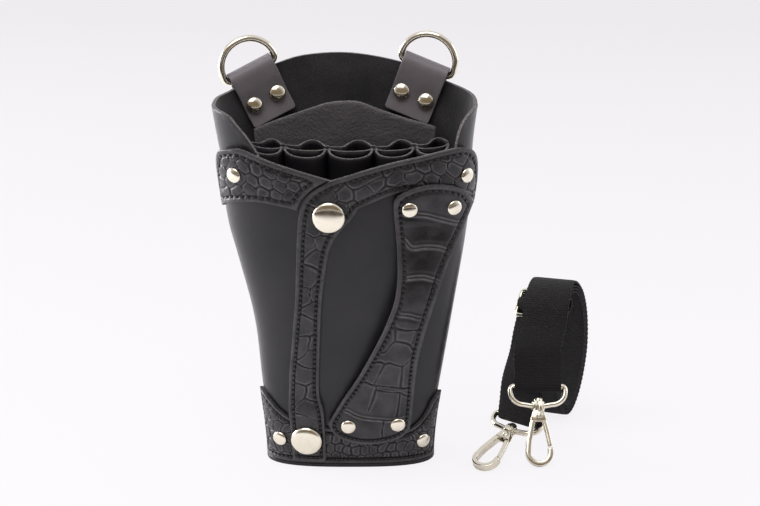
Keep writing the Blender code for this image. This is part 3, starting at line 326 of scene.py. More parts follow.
# a finish is its materials, for the grain side, the cut edge and the flesh side, and its slot
cutEdge = fibreMaterial("cut leather edge", cutLook)
dyedEdge = fibreMaterial("dyed leather edge", dyedLook)
flesh = fibreMaterial("suede flesh side", fleshLook)
smoothSide = leatherMaterial("satin black leather", smoothLook)
tabSide = leatherMaterial("black leather painted lighter", tabLook)
crocSide = leatherMaterial("crocodile embossed leather", crocLook)
pebbledSide = leatherMaterial("pebbled leather", pebbledLook)
smoothLeather = ([smoothSide, cutEdge, flesh], "smooth_leather")
soleLeather = ([smoothSide, smoothSide, flesh], "smooth_leather")
tabLeather = ([tabSide, dyedEdge, flesh], "smooth_leather")
crocLeather = ([crocSide, dyedEdge, flesh], "crocodile_leather")
pebbledLeather = ([pebbledSide, cutEdge, flesh], "pebbled_leather")
nickel = ([nickelMaterial()], "nickel")
springSteel = ([springMaterial()], "spring_steel")
thread = ([threadMaterial()], "thread")
webbing = ([webbingMaterial()], "webbing")
print("finishes")

# helpers for making pieces


def makePiece(name, bm, finish, body="holster", place=None, crease=40.0, isNew=False):
    # the bmesh is in millimetres, local to the matrix place; a new piece has no CAD node of its name
    if place is not None:
        bmesh.ops.transform(bm, matrix=place, verts=bm.verts)
    bmesh.ops.scale(bm, vec=(mm, mm, mm), verts=bm.verts)
    mesh = bpy.data.meshes.new(name)
    bm.to_mesh(mesh)
    bm.free()
    materials, slot = finish
    for material in materials:
        mesh.materials.append(material)
    mesh.shade_smooth()
    mesh.set_sharp_from_angle(angle=math.radians(crease))
    piece = addObject(name, mesh)
    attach(piece, body)
    if not isNew:
        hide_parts(name)
    return piece


def spotsOf(bm):
    return np.array([v.co[:] for v in bm.verts])


def moveTo(bm, spots):
    for vert, spot in zip(bm.verts, spots):
        vert.co = spot


def standing(centre, right, out):
    # matrix of a place whose X is the way right and whose Z is the way out
    return Matrix.Translation(centre) @ Matrix((right, out.cross(right), out)).transposed().to_4x4()


def arc(radius, start, end, count, x=0.0, y=0.0):
    # points round (x, y), from one angle to another in degrees
    turns = np.radians(np.linspace(start, end, count))
    return [(x + radius * math.cos(t), y + radius * math.sin(t)) for t in turns]


def smoothLine(points, pitch=1.2, closed=False):
    # evenly spaced points on a smooth curve through the given ones
    points = np.array(points, float)
    count = len(points)
    found = []
    for i in range(count if closed else count - 1):
        a, b = points[i], points[(i + 1) % count]
        before = points[i - 1] if closed or i else a
        after = points[(i + 2) % count] if closed or i + 2 < count else b
        steps = max(int(np.linalg.norm(b - a) / pitch), 1)
        for u in np.arange(steps) / steps:
            found.append(0.5 * (2 * a + (b - before) * u + (2 * before - 5 * a + 4 * b - after) * u**2
                                + (3 * a - before - 3 * b + after) * u**3))
    return np.array(found if closed else found + [points[-1]])


def distanceAlong(points):
    return np.concatenate([[0.0], np.cumsum(np.linalg.norm(np.diff(points, axis=0), axis=1))])


def readAt(spots, along, values):
    # every column of values, read between its rows at the given distances
    return np.stack([np.interp(spots, along, values[:, k]) for k in range(values.shape[1])], axis=1)


def closedLine(outline):
    return np.concatenate([outline, outline[:1]])


def spaced(points, pitch):
    # points at an even pitch along a line
    points = np.asarray(points, float)
    along = distanceAlong(points)
    spots = np.linspace(0.0, along[-1], max(int(round(along[-1] / pitch)), 1) + 1)
    return readAt(spots, along, points)


def nearest(spots, targets, count=1):
    # distances from each spot to its nearest targets, and which they are
    near, which = [], []
    for start in range(0, len(spots), 2000):
        gaps = np.linalg.norm(spots[start:start + 2000, None, :] - targets[None, :, :], axis=2)
        order = np.argsort(gaps, axis=1)[:, :count]
        near.append(np.take_along_axis(gaps, order, axis=1))
        which.append(order)
    return np.concatenate(near), np.concatenate(which)


def bell(distance, width):
    return np.exp(-((distance / width) ** 2))


def gridCuts(bm, axis, pitch):
    # cuts the faces at an even pitch across X (axis 0) or Y (axis 1)
    way = Vector((1.0, 0.0, 0.0)) if axis == 0 else Vector((0.0, 1.0, 0.0))
    reach = [v.co[axis] for v in bm.verts]
    for value in np.arange(min(reach) + pitch * 0.63, max(reach) - 0.2, pitch):
        parts = bm.verts[:] + bm.edges[:] + bm.faces[:]
        bmesh.ops.bisect_plane(bm, geom=parts, dist=1e-4, plane_co=way * value, plane_no=way)


def slab(outline, thickness, pitch, cuts=0, rim=0.45):
    # flat closed sheet with a rounded upper rim: grain side up, material 0 grain, 1 cut edge, 2 flesh
    bm = bmesh.new()
    face = bm.faces.new([bm.verts.new((p[0], p[1], 0.0)) for p in outline])
    face.normal_update()
    if face.normal.z < 0:
        face.normal_flip()
    made = bmesh.ops.extrude_face_region(bm, geom=[face])
    upper = next(part for part in made["geom"] if isinstance(part, bmesh.types.BMFace))
    lift = [part for part in made["geom"] if isinstance(part, bmesh.types.BMVert)]
    bmesh.ops.translate(bm, vec=(0.0, 0.0, thickness - 0.7 * rim), verts=lift)
    for inwards, rise in ((0.25 * rim, 0.45 * rim), (0.6 * rim, 0.25 * rim)):
        bmesh.ops.inset_region(bm, faces=[upper], thickness=inwards, depth=rise, use_even_offset=True)
    for axis in (0, 1):
        gridCuts(bm, axis, pitch)
    bmesh.ops.recalc_face_normals(bm, faces=bm.faces)
    top = []
    for face in bm.faces:
        if face.normal.z > 0.8:
            face.material_index = 0
        else:
            face.material_index = 2 if face.normal.z < -0.8 else 1
        if face.normal.z > 0.99:
            top.append(face)
    if cuts:
        many = [face for face in top if len(face.verts) > 4]
        rest = [face for face in top if len(face.verts) <= 4]
        top = rest + bmesh.ops.triangulate(bm, faces=many)["faces"]
        edges = list({edge for face in top for edge in face.edges})
        bmesh.ops.subdivide_edges(bm, edges=edges, cuts=cuts, use_grid_fill=True)
    return bm


def wrap(bm, place, thickness=None, relief=None):
    # lays a flat sheet where place() says, and presses the relief into its grain side
    flat = spotsOf(bm)
    if relief is not None:
        top = flat[:, 2] > thickness - 0.02
        depth, grooveShade, wearAndHighlight = relief(place(flat[top]), flat[top])
        flat[top, 2] += depth
        for key, values in (("grooveShade", grooveShade), ("wearAndHighlight", wearAndHighlight)):
            layer = bm.verts.layers.float.new(key)
            bm.verts.ensure_lookup_table()
            for i, value in zip(np.flatnonzero(top), values):
                bm.verts[i][layer] = float(min(max(value, 0.0), 1.0))
    moveTo(bm, place(flat))


def wireMesh(points, radius, closed=False, sides=6):
    # round wire along a line of (x, y, z), or of (x, y) on the ground plane
    curve = bpy.data.curves.new("wire", "CURVE")
    curve.dimensions = "3D"
    curve.bevel_depth = radius
    curve.bevel_resolution = sides
    curve.use_fill_caps = True
    spline = curve.splines.new("POLY")
    spline.points.add(len(points) - 1)
    spline.use_cyclic_u = closed
    for point, spot in zip(spline.points, points):
        point.co = (*(*spot, 0.0)[:3], 1.0)
    holder = addObject("wire", curve)
    mesh = bpy.data.meshes.new_from_object(holder.evaluated_get(bpy.context.evaluated_depsgraph_get()))
    bm = bmesh.new()
    bm.from_mesh(mesh)
    bpy.data.objects.remove(holder)
    bpy.data.meshes.remove(mesh)
    bpy.data.curves.remove(curve)
    bmesh.ops.remove_doubles(bm, verts=bm.verts, dist=1e-4)
    bmesh.ops.recalc_face_normals(bm, faces=bm.faces)
    return bm


def turned(profile, steps=48):
    # solid of revolution about Z from (radius, height) points that start and end on the axis
    bm = bmesh.new()
    verts = [bm.verts.new((radius, 0.0, height)) for radius, height in profile]
    edges = [bm.edges.new(pair) for pair in zip(verts, verts[1:])]
    bmesh.ops.spin(
        bm, geom=verts + edges, axis=(0.0, 0.0, 1.0), cent=(0.0, 0.0, 0.0), steps=steps,
        angle=math.tau, use_merge=True,
    )
    bmesh.ops.remove_doubles(bm, verts=bm.verts, dist=1e-4)
    bmesh.ops.recalc_face_normals(bm, faces=bm.faces)
    return bm


def joined(parts):
    # several bmeshes as one
    whole = bmesh.new()
    for part in parts:
        mesh = bpy.data.meshes.new("part")
        part.to_mesh(mesh)
        part.free()
        whole.from_mesh(mesh)
        bpy.data.meshes.remove(mesh)
    return whole


# the holster's wall: an oval section that widens upwards

wall = {
    "power": 2.8, "halfWidth": 42.0, "widening": 0.152, "starts": 25.0, "blend": 18.0,
    "frontDepth": 15.5, "frontFlare": 0.075, "backDepth": 17.0, "backFlare": 0.092,
    "footTuck": (1.7, 34.0), "frontTuck": (2.0, 34.0), "rightTuck": (3.6, 115.0, 75.0),
    # each waist: how deep it goes in, at what height, and how far up and down it reaches
    "leftWaist": ((3.2, 79.0, 32.0), (-0.9, 133.0, 14.0)), "rightWaist": ((-1.0, 157.0, 15.0),),
}
panelOffset, trimOffset, overTrim = 0.1, 1.95, 4.1  # how far each layer stands off the shell's face
trimThickness, strapThickness, shellThickness, panelThickness, soleThickness = 1.85, 2.4, 2.0, 1.8, 2.0
wallFoot = 2.05


def wallSpot(angle, height, offset):
    # angle 0 is the front's middle, 90 the right side, 180 the back; arrays are fine
    angle, height = np.broadcast_arrays(np.asarray(angle, float), np.asarray(height, float))
    side, ahead = np.sin(np.radians(angle)), np.cos(np.radians(angle))
    rise = height - wall["starts"]
    width = wall["halfWidth"] + wall["widening"] * (np.hypot(rise, wall["blend"]) + rise) / 2
    deep, reach = wall["footTuck"]
    width = width - deep * bell(height, reach)
    waists = [
        sum(deep * bell(height - middle, reach) for deep, middle, reach in wall[key])
        for key in ("leftWaist", "rightWaist")
    ]
    deep, starts, reach = wall["rightTuck"]
    up = np.clip((height - starts) / reach, 0.0, 1.0)
    width = width - np.where(side < 0, waists[0], waists[1] + deep * up * up * (3 - 2 * up))
    deep, reach = wall["frontTuck"]
    front = wall["frontDepth"] + wall["frontFlare"] * height - deep * bell(height, reach)
    back = wall["backDepth"] + wall["backFlare"] * height
    depth = np.where(ahead > 0, front, back)
    power = wall["power"]
    x = np.sign(side) * width * np.abs(side) ** (2 / power)
    y = -np.sign(ahead) * depth * np.abs(ahead) ** (2 / power)
    leanX = np.sign(x) * np.abs(x / width) ** (power - 1) / width
    leanY = np.sign(y) * np.abs(y / depth) ** (power - 1) / depth
    length = np.hypot(leanX, leanY)
    return np.stack([x + leanX / length * offset, y + leanY / length * offset, height], axis=-1)


def arcTable():
    # girth of the wall against the angle, at a middle height, so that sheets can be drawn flat
    eased = np.linspace(0.0, 1.0, 80, endpoint=False)
    eased = eased**1.4 / (eased**1.4 + (1 - eased) ** 1.4)
    angles = np.concatenate([90.0 * (k + eased) for k in range(-2, 4)])
    girth = distanceAlong(wallSpot(angles, 100.0, 0.0))
    return angles, girth - np.interp(0.0, angles, girth)


tableAngles, tableGirth = arcTable()


def flatSpots(points):
    # (angle, height) to (girth, height)
    points = np.array(points, float)
    return np.stack([np.interp(points[:, 0], tableAngles, tableGirth), points[:, 1]], axis=1)


def onWall(offset, rise=None):
    def place(flat):
        angle = np.interp(flat[:, 0], tableGirth, tableAngles)
        lift = rise(angle, flat[:, 1]) if rise else 0.0
        return wallSpot(angle, flat[:, 1], offset + lift + flat[:, 2])
    return place


def outlineOf(*runs):
    # closed flat outline: each run is smooth, and runs meet at corners
    lines = [smoothLine(flatSpots(run), 1.2) for run in runs]
    outline = np.concatenate([line[:-1] for line in lines])
    return outline[np.linalg.norm(outline - np.roll(outline, 1, axis=0), axis=1) > 0.05]


panelEdge = 84.0
topRight = [(-3.3, 161.1), (10, 169.2), (28, 173.1), (42, 175), (56, 175.3), (68, 172.5), (78, 165),
            (panelEdge, 150)]
topLeft = [(-panelEdge, 150), (-78, 163), (-68, 172), (-55, 174.6), (-47, 175.2), (-38.4, 173.4),
           (-27.3, 169.9), (-15.7, 166.2), (-3.3, 161.1)]
shellOutline = outlineOf(
    [(78, wallFoot), (282, wallFoot)], [(282, wallFoot), (282, 130)],
    [(282, 130), (292, 140), (312, 147), (323, 157), (325, 171.5)],
    [(325, 171.5), (319, 180), (312, 186), (304, 191), (287, 192.5), (262, 192.5), (238, 193.5),
     (218, 200.0), (205, 204.6), (192, 208.5), (180, 209.5), (165, 205.4), (151, 200.0), (138, 197.0),
     (118, 194.5), (90, 192.5), (73, 192), (62, 189), (56, 183), (53, 172)],
    [(53, 172), (47, 164), (48, 154), (62, 145), (72, 139), (78, 130)], [(78, 130), (78, wallFoot)],
)
panelOutline = outlineOf(
    [(-panelEdge, wallFoot), (-panelEdge, 150)], [(a, h - 0.3) for a, h in topLeft],
    [(a, h - 0.3) for a, h in topRight], [(panelEdge, 149.7), (panelEdge, wallFoot)],
    [(panelEdge, wallFoot), (-panelEdge, wallFoot)],
)
leftBandOutline = outlineOf(
    [(-panelEdge, 141), (-panelEdge, 150)], topLeft[:-1] + [(-4.4, 161.5)],
    [(-4.4, 161.5), (-9.2, 157.2), (-11.6, 154.6), (-14.3, 151), (-16.1, 146.5), (-16.2, 145.6)],
    [(-16.2, 145.6), (-20.6, 147), (-27.4, 148.1), (-35, 149), (-43.4, 148.8), (-57, 147.1), (-73.5, 143.9),
     (-panelEdge, 141)],
)
rightBandOutline = outlineOf(
    topRight, [(panelEdge, 150), (panelEdge, 142)],
    [(panelEdge, 142), (68, 146), (46, 151), (24, 155), (16.7, 155), (10.7, 153), (1.8, 147)],
    [(1.8, 147), (0.5, 142), (-3.3, 129), (-6.8, 110), (-9.9, 88), (-12.4, 60), (-13.2, 46), (-12.6, 40),
     (-11.2, 35), (-10.8, 26), (-11, 4)],
    [(-11, 4), (-37.6, 4)],
    [(-37.6, 4), (-37.2, 20), (-37, 34.6), (-34.8, 52), (-31.2, 67.7), (-27.6, 82), (-23.4, 97.4),
     (-19.8, 116), (-17.5, 130.3), (-16, 141), (-15, 146.3)],
    [(-15, 146.3), (-13.2, 151), (-10.4, 154.8), (-8, 157.2), (-3.3, 161.1)],
)
bottomBandOutline = outlineOf(
    [(-panelEdge, wallFoot), (-panelEdge, 40.5)],
    [(-panelEdge, 40.5), (-69, 39), (-60.4, 36.6), (-51, 32.5), (-42.6, 29.7), (-35.8, 27.5), (-22, 24),
     (10, 22), (28, 20.5), (39, 21.5), (48.3, 24.5), (57.3, 29.3), (64.2, 35), (70.5, 37.5),
     (panelEdge, 38.5)],
    [(panelEdge, 38.5), (panelEdge, wallFoot)], [(panelEdge, wallFoot), (-panelEdge, wallFoot)],
)
strapOutline = outlineOf(
    [(14.1, 150.4), (15.5, 153.4), (20, 156.2), (28, 158.6), (38, 158.5), (49, 156.6), (59, 152.9),
     (68.6, 146.1)],
    [(68.6, 146.1), (62, 136.7), (56.2, 130.6), (51.4, 125.2), (46, 116.9), (42.2, 107.7), (39.1, 97.5),
     (36.4, 86.9), (34.5, 75.6), (33.9, 64.8), (34.9, 52.8), (36.8, 41.1), (37.5, 31), (37.3, 23.2)],
    [(37.3, 23.2), (33, 20), (26.7, 17.4), (13.9, 15.2), (3.9, 15.1), (-1.1, 17.5), (-5.6, 21.1), (-8.6, 27)],
    [(-8.6, 27), (-2.7, 38.8), (1.8, 54.5), (6.9, 69.2), (11, 80.4), (14.6, 91.5), (16.8, 101.1),
     (17.4, 112.5), (16.7, 124.1), (15.7, 134.2), (14.2, 145.7), (14.1, 150.4)],
)


def stripRise(angle, height):
    # the strip climbs over the bottom band near its foot
    return (overTrim - trimOffset) * np.clip((46.0 - height) / 14.0, 0.0, 1.0)


loop = {"bottom": 38.0, "top": 138.0, "left": 0.0, "right": 48.0, "riseLeft": 5.5, "riseRight": 8.5}


def loopRise(angle, height):
    along = np.clip((height - loop["bottom"]) / (loop["top"] - loop["bottom"]), 0.0, 1.0)
    across = (angle - loop["left"]) / (loop["right"] - loop["left"])
    rise = loop["riseLeft"] + (loop["riseRight"] - loop["riseLeft"]) * across
    return rise * np.sin(np.pi * along) ** 1.2


# stitches


def insetLines(outline, inset, keep):
    # lines that run inside an outline, in pieces where keep() lets them go
    ahead = np.roll(outline, -1, axis=0) - outline
    ahead /= np.linalg.norm(ahead, axis=1)[:, None]
    way = ahead + np.roll(ahead, 1, axis=0)
    way /= np.linalg.norm(way, axis=1)[:, None]
    area = np.sum(outline[:, 0] * np.roll(outline[:, 1], -1) - np.roll(outline[:, 0], -1) * outline[:, 1])
    inwards = np.stack([-way[:, 1], way[:, 0]], axis=1) * np.sign(area)
    line = outline + inwards * inset
    gap = nearest(line, outline)[0][:, 0]
    angle = np.interp(line[:, 0], tableGirth, tableAngles)
    fine = (gap > inset * 0.96) & np.array([keep(a, h) for a, h in zip(angle, line[:, 1])])
    if fine.all():
        return [closedLine(line)]
    start = int(np.flatnonzero(~fine)[0])
    runs = [[]]
    for spot in np.roll(line, -start, axis=0)[np.roll(fine, -start)]:
        # a short gap at an inner corner doesn't break the seam
        if runs[-1] and np.linalg.norm(spot - runs[-1][-1]) >= 4.0:
            runs.append([])
        runs[-1].append(spot)
    return [np.array(run) for run in runs if len(run) > 3]


stitchLook = {"pitch": 2.75, "length": 2.0, "thick": 0.8, "sunk": 0.12}


def stitchShape(length, thick, place):
    bm = bmesh.new()
    bmesh.ops.create_uvsphere(bm, u_segments=8, v_segments=6, radius=0.5)
    bmesh.ops.rotate(bm, cent=(0.0, 0.0, 0.0), matrix=Matrix.Rotation(math.pi / 2, 3, "Y"), verts=bm.verts)
    bmesh.ops.scale(bm, vec=(length, thick, thick), verts=bm.verts)
    bmesh.ops.transform(bm, matrix=place, verts=bm.verts)
    return bm


def seamPlaces(lines, place, top):
    # where each stitch lies: its frame on the grain side, and the needle holes between the stitches
    frames, holes = [], []
    for line in lines:
        spots = spaced(line, stitchLook["pitch"])
        low = np.column_stack([spots, np.full(len(spots), top)])
        high = np.column_stack([spots, np.full(len(spots), top + 1.0)])
        low, high = place(low), place(high)
        holes.extend(low)
        for i in range(len(low) - 1):
            centre = Vector((low[i] + low[i + 1]) / 2)
            along = Vector(low[i + 1] - low[i]).normalized()
            out = Vector(high[i] - low[i])
            out = (out - along * out.dot(along)).normalized()
            turn = Matrix.Rotation(math.radians(chance.uniform(-7, 7)), 4, "Z")
            frames.append(standing(centre - out * stitchLook["sunk"], along, out) @ turn)
    return frames, np.array(holes)


def makeStitches(name, frames, body="holster"):
    length, thick = stitchLook["length"], stitchLook["thick"]
    shapes = [stitchShape(length * chance.uniform(0.9, 1.08), thick, place) for place in frames]
    makePiece(name, joined(shapes), thread, body, isNew=True)


# crocodile grain


def bent(spots):
    # bends the scales' borders, so that they aren't straight
    x, y, z = spots.T
    sway = np.stack([
        0.9 * np.sin(0.21 * z + 0.05 * x) + 0.45 * np.sin(0.63 * z + 1.1),
        0.3 * np.sin(0.3 * z),
        1.1 * np.sin(0.16 * x + 0.8) + 0.5 * np.sin(0.49 * x + 0.11 * z),
    ], axis=1)
    return spots + sway


def crocRelief(seeds, seams, outline, look):
    # seeds, needle holes and outline are places on the wall
    def relief(spots, flat):
        gaps, which = nearest(bent(spots), seeds, 2)
        between = np.linalg.norm(seeds[which[:, 0]] - seeds[which[:, 1]], axis=1)
        border = (gaps[:, 1] ** 2 - gaps[:, 0] ** 2) / (2 * between)
        width = look["valley"] * (1 + 0.35 * np.sin(0.17 * spots[:, 2] + 0.31 * spots[:, 0]))
        valley = bell(border, width)
        lip = bell(border - 2.1 * width, 0.9 * width)
        crown = np.clip(border / 6.0, 0.0, 1.0)
        depth = look["depth"] * (-valley + 0.35 * lip) + look["swell"] * np.sqrt(crown)
        # the valleys are darkened as painted shade, and the lips lightened, partly as wear and partly as
        # painted highlight
        return trimFinish(spots, depth, 0.85 * valley, 0.5 * lip, seams, outline)
    return relief


def trimFinish(spots, depth, grooveShade, wearAndHighlight, seams, outline):
    # flattens the scales towards the rim and adds the seam's channel, its needle holes and the margin
    # lightened by rubbing; the channel and the holes are darkened as painted shade, and the rim is lightened,
    # partly as wear and partly as painted highlight
    rimGap = nearest(spots, outline)[0][:, 0]
    calm = 0.25 + 0.75 * np.clip((rimGap - 1.2) / 2.2, 0.0, 1.0)
    depth, grooveShade, wearAndHighlight = depth * calm, grooveShade * calm, wearAndHighlight * calm
    if len(seams):
        lines = np.concatenate([(seams[:-1] + seams[1:]) / 2, seams])
        gap = nearest(spots, lines)[0][:, 0]
        channel = bell(gap, 0.95)
        pit = bell(nearest(spots, seams)[0][:, 0], 0.8)
        depth = depth * (1 - 0.7 * channel) - 0.36 * channel - 0.7 * pit
        grooveShade = np.maximum(grooveShade, np.maximum(0.75 * channel, pit))
        margin = np.clip((gap - 0.9) / 0.5, 0.0, 1.0) * (rimGap < trimInset - 0.6)
        wearAndHighlight = np.maximum(wearAndHighlight * (1 - channel), 0.2 * margin)
    depth = depth * (1 - bell(rimGap, 0.5))
    return depth, grooveShade, np.maximum(wearAndHighlight, 0.32 * bell(rimGap, 0.4))


def foldRelief(folds, seams, outline, look):
    # long scales drawn one by one: pressed creases, and double ridges that catch the light
    creases, ridges = folds

    def relief(spots, flat):
        gap, fold = nearest(spots, creases)[0][:, 0], nearest(spots, ridges)[0][:, 0]
        width = look["valley"] * (1 + 0.3 * np.sin(0.23 * spots[:, 2] + 0.31 * spots[:, 0]))
        valley, lip = bell(gap, width), bell(gap - 2.2 * width, 0.9 * width)
        ridge = bell(fold - 0.9, 0.45)
        furrow = np.maximum(bell(fold, 0.42), 0.7 * bell(fold - 2.1, 0.8))
        crown = np.clip(np.minimum(gap, fold) / 7.0, 0.0, 1.0)
        depth = look["depth"] * (0.3 * lip - valley + 0.6 * ridge - 0.6 * furrow)
        depth = depth + look["swell"] * np.sqrt(crown)
        # the creases and furrows are darkened as painted shade, and the lips and ridges lightened, partly as
        # wear and partly as painted highlight
        grooveShade = np.maximum(0.85 * valley, 0.6 * furrow)
        return trimFinish(spots, depth, grooveShade, np.maximum(0.4 * lip, 0.75 * ridge), seams, outline)
    return relief


def foldSpots(lines, offset, rise, top):
    # places along given lines of (angle, height), on top of a sheet
    runs = np.concatenate([smoothLine(flatSpots(line), 0.4) for line in lines])
    return onWall(offset, rise)(np.column_stack([runs, np.full(len(runs), top)]))


def seedSpots(rows, offset, rise=None):
    # rows of (angle, height, distances to either side of it along the wall)
    flat = []
    for angle, height, sides in rows:
        middle = np.interp(angle, tableAngles, tableGirth)
        flat += [(middle + side, height, 0.0) for side in sides]
    return onWall(offset, rise)(np.array(flat))


def seedRows(low, start, end, rises, pitch, jitter):
    # rows of scales that follow a line of (angle, height) from one angle to another
    low = flatSpots(low)
    order = np.argsort(low[:, 0])
    flat = []
    ends = np.interp([start, end], tableAngles, tableGirth)
    for k, rise in enumerate(rises):
        for girth in np.arange(ends[0] - pitch, ends[1] + pitch, pitch):
            shifted = girth + (pitch / 2 if k % 2 else 0.0)
            height = np.interp(shifted, low[order, 0], low[order, 1]) + rise
            across, up = chance.uniform(-jitter, jitter), chance.uniform(-jitter, jitter)
            flat.append((shifted + across, height + up, 0.0))
    return np.array(flat)


trimInset = 2.7  # from the rim to the seam
bandLook = {"valley": 0.36, "depth": 0.45, "swell": 0.35, "grid": 2.2}
loopLook = {"valley": 0.42, "depth": 0.5, "swell": 0.3, "grid": 2.2}


def makeTrim(name, outline, offset, thickness, look, keep, rise=None, seeds=None, folds=None):
    place = onWall(offset, rise)
    frames, holes = seamPlaces(insetLines(outline, trimInset, keep), place, thickness)
    rim = spaced(closedLine(outline), 0.8)
    rim = place(np.column_stack([rim, np.full(len(rim), thickness)]))
    bm = slab(outline, thickness, look["grid"], 3)
    relief = foldRelief(folds, holes, rim, look) if folds else crocRelief(seeds, holes, rim, look)
    wrap(bm, place, thickness, relief)
    makePiece(name, bm, crocLeather)
    makeStitches(name + "_stitches", frames)


def makeBand(name, outline, seeds, keep, rise=None):
    makeTrim(name, outline, trimOffset, trimThickness, bandLook, keep, rise, seeds)


def makeLeftBand():
    lower = [(-84, 139), (-68, 143), (-42, 148), (-26, 147), (-14.7, 144.8)]
    flat = seedRows(lower, -84, 0, (2.0, 7.6, 13.2, 18.8, 24.4), 5.4, 0.5)
    makeBand("left_band", leftBandOutline, onWall(trimOffset)(flat), lambda a, h: a > -79)


def makeRightBand():
    lower = [(-12, 142), (1.8, 147), (10.7, 152), (16.7, 154), (24, 155), (46, 151), (68, 146), (84, 142)]
    band = onWall(trimOffset)(seedRows(lower, 0, 84, (-8.0, 1.5, 8.6, 15.4, 22.0), 6.8, 1.1))
    middle = ([4, 22, 42, 58, 88, 110, 130, 142], [-23, -24, -22.3, -19.3, -15.3, -12.3, -9, -6])
    strip = []
    for k, height in enumerate(np.arange(8.0, 141.0, 9.2)):
        sides = (-4.2, 5.2) if k % 3 == 1 else ((-2.5,) if k % 3 else (2.5,))
        strip.append((np.interp(height, *middle), height, sides))
    seeds = np.concatenate([band, seedSpots(strip, trimOffset, stripRise)])
    makeBand("right_band", rightBandOutline, seeds, lambda a, h: a < 79 and h > 6.2, stripRise)


def makeBottomBand():
    flat = seedRows([(-84, 5.5), (84, 5.5)], -84, 84, (0.0, 5.6, 11.4, 17.4, 23.6, 30.0), 5.6, 0.6)
    makeBand("bottom_band", bottomBandOutline, onWall(trimOffset)(flat), lambda a, h: abs(a) < 80)


strapCreases = [
    [(15.0, 88.5), (20.5, 85.0), (30.0, 84.5), (37.5, 86.0)],
    [(17.7, 86.5), (18.1, 78.6)], [(29.9, 84.5), (28.5, 77.1)],
    [(8.5, 72.0), (13.3, 72.2), (16.1, 76.3), (18.1, 78), (22.6, 77.6), (26.9, 76), (29.8, 72.9),
     (34.5, 73.5)],
    [(5.5, 65.0), (10.7, 66.2), (13.8, 65), (16.4, 65.5), (20, 64.2), (24.3, 63.5), (27.1, 65.8), (31.3, 68),
     (34.5, 67)],
    [(13.8, 65), (11.1, 58.2), (9.1, 52.6)], [(24, 63.5), (24.5, 57.9), (24.7, 49.6)],
    [(0.5, 52.5), (4.3, 53.9), (7.9, 52), (12, 51.3), (17.8, 50.5), (27.9, 49.1), (34.5, 51.0)],
    [(10, 48.8), (18.2, 47), (24.9, 46.4), (29.6, 44.2), (36.5, 43)],
    [(10, 51.5), (10, 48.8), (8.8, 42.5), (6.9, 35.8)], [(24.9, 46.4), (25.6, 39.5), (25.0, 31.5)],
    [(16.0, 29.5), (15.3, 23.0), (16.2, 15.5)],
]
strapRidges = [
    [(15.5, 145.4), (22, 144.6), (30.3, 143.6), (39.9, 141), (56.2, 136.8), (62, 136)],
    [(16.5, 132.6), (19.6, 131.5), (23.8, 127.4), (31.1, 127.5), (40.6, 126.3), (49.1, 122.8), (51.5, 122)],
    [(17.0, 111.9), (20.4, 111.9), (26.2, 112.4), (31.9, 112.2), (39.5, 109.9), (43.5, 108.5)],
    [(16.5, 93.8), (19, 93.1), (25, 92.4), (31, 90.8), (35.8, 91.3), (38.0, 91.2)],
    [(-7.0, 35.5), (-1, 35.9), (1.2, 33), (5.1, 31.2), (13.3, 30.1), (21.2, 29.5), (37, 30.5)],
]


def makeToolStrap():
    folds = [foldSpots(lines, overTrim, loopRise, strapThickness) for lines in (strapCreases, strapRidges)]
    makeTrim(
        "tool_strap", strapOutline, overTrim, strapThickness, loopLook,
        lambda a, h: True, loopRise, folds=folds,
    )


makeLeftBand()
makeRightBand()
makeBottomBand()
makeToolStrap()
print("crocodile trim")

# smooth leather of the pouch


def rimRelief(outline, place, thickness):
    # smooth leather: gently uneven, and only the rim is lightened, partly as wear and partly as painted
    # highlight
    rim = spaced(closedLine(outline), 1.5)
    rim = place(np.column_stack([rim, np.full(len(rim), thickness)]))

    def relief(spots, flat):
        gap = nearest(spots, rim)[0][:, 0]
        depth = 0.16 * np.sin(0.045 * spots[:, 0] + 0.06 * spots[:, 2]) * np.clip(gap / 8.0, 0.0, 1.0)
        return depth, np.zeros(len(spots)), 0.8 * bell(gap, 1.2)
    return relief


def makeSheet(name, outline, place, thickness, finish=smoothLeather, pitch=2.6, rim=0.45, isNew=False):
    bm = slab(outline, thickness, pitch, rim=rim)
    wrap(bm, place, thickness, rimRelief(outline, place, thickness))
    makePiece(name, bm, finish, isNew=isNew)


def makeSole():
    rim = wallSpot(np.arange(0, 360, 1.5), 0.0, trimOffset + trimThickness)
    rim = spaced(closedLine(rim), 1.5)[:-1]
    makePiece("sole", slab(rim[:, :2], soleThickness, 5.0, rim=0.5), soleLeather)


makeSheet("back_shell", shellOutline, onWall(-shellThickness), shellThickness)
makeSheet("front_panel", panelOutline, onWall(panelOffset), panelThickness)
makeSole()
print("pouch")

# divider and shears tubes

dividerSize = {
    "foot": 52.0, "thickness": 1.4, "left": -49.0, "right": 44.0,
    "hill": [(-49, 173), (-35, 179), (-18.5, 185.2), (-10.5, 187.7), (-3, 188.4), (5, 187.9), (15.9, 183.6),
             (28.8, 179.2), (40, 176), (44, 174.4)],
}
dividerHill = smoothLine(dividerSize["hill"], 0.8)


def dividerTop(x):
    return np.interp(x, dividerHill[:, 0], dividerHill[:, 1])


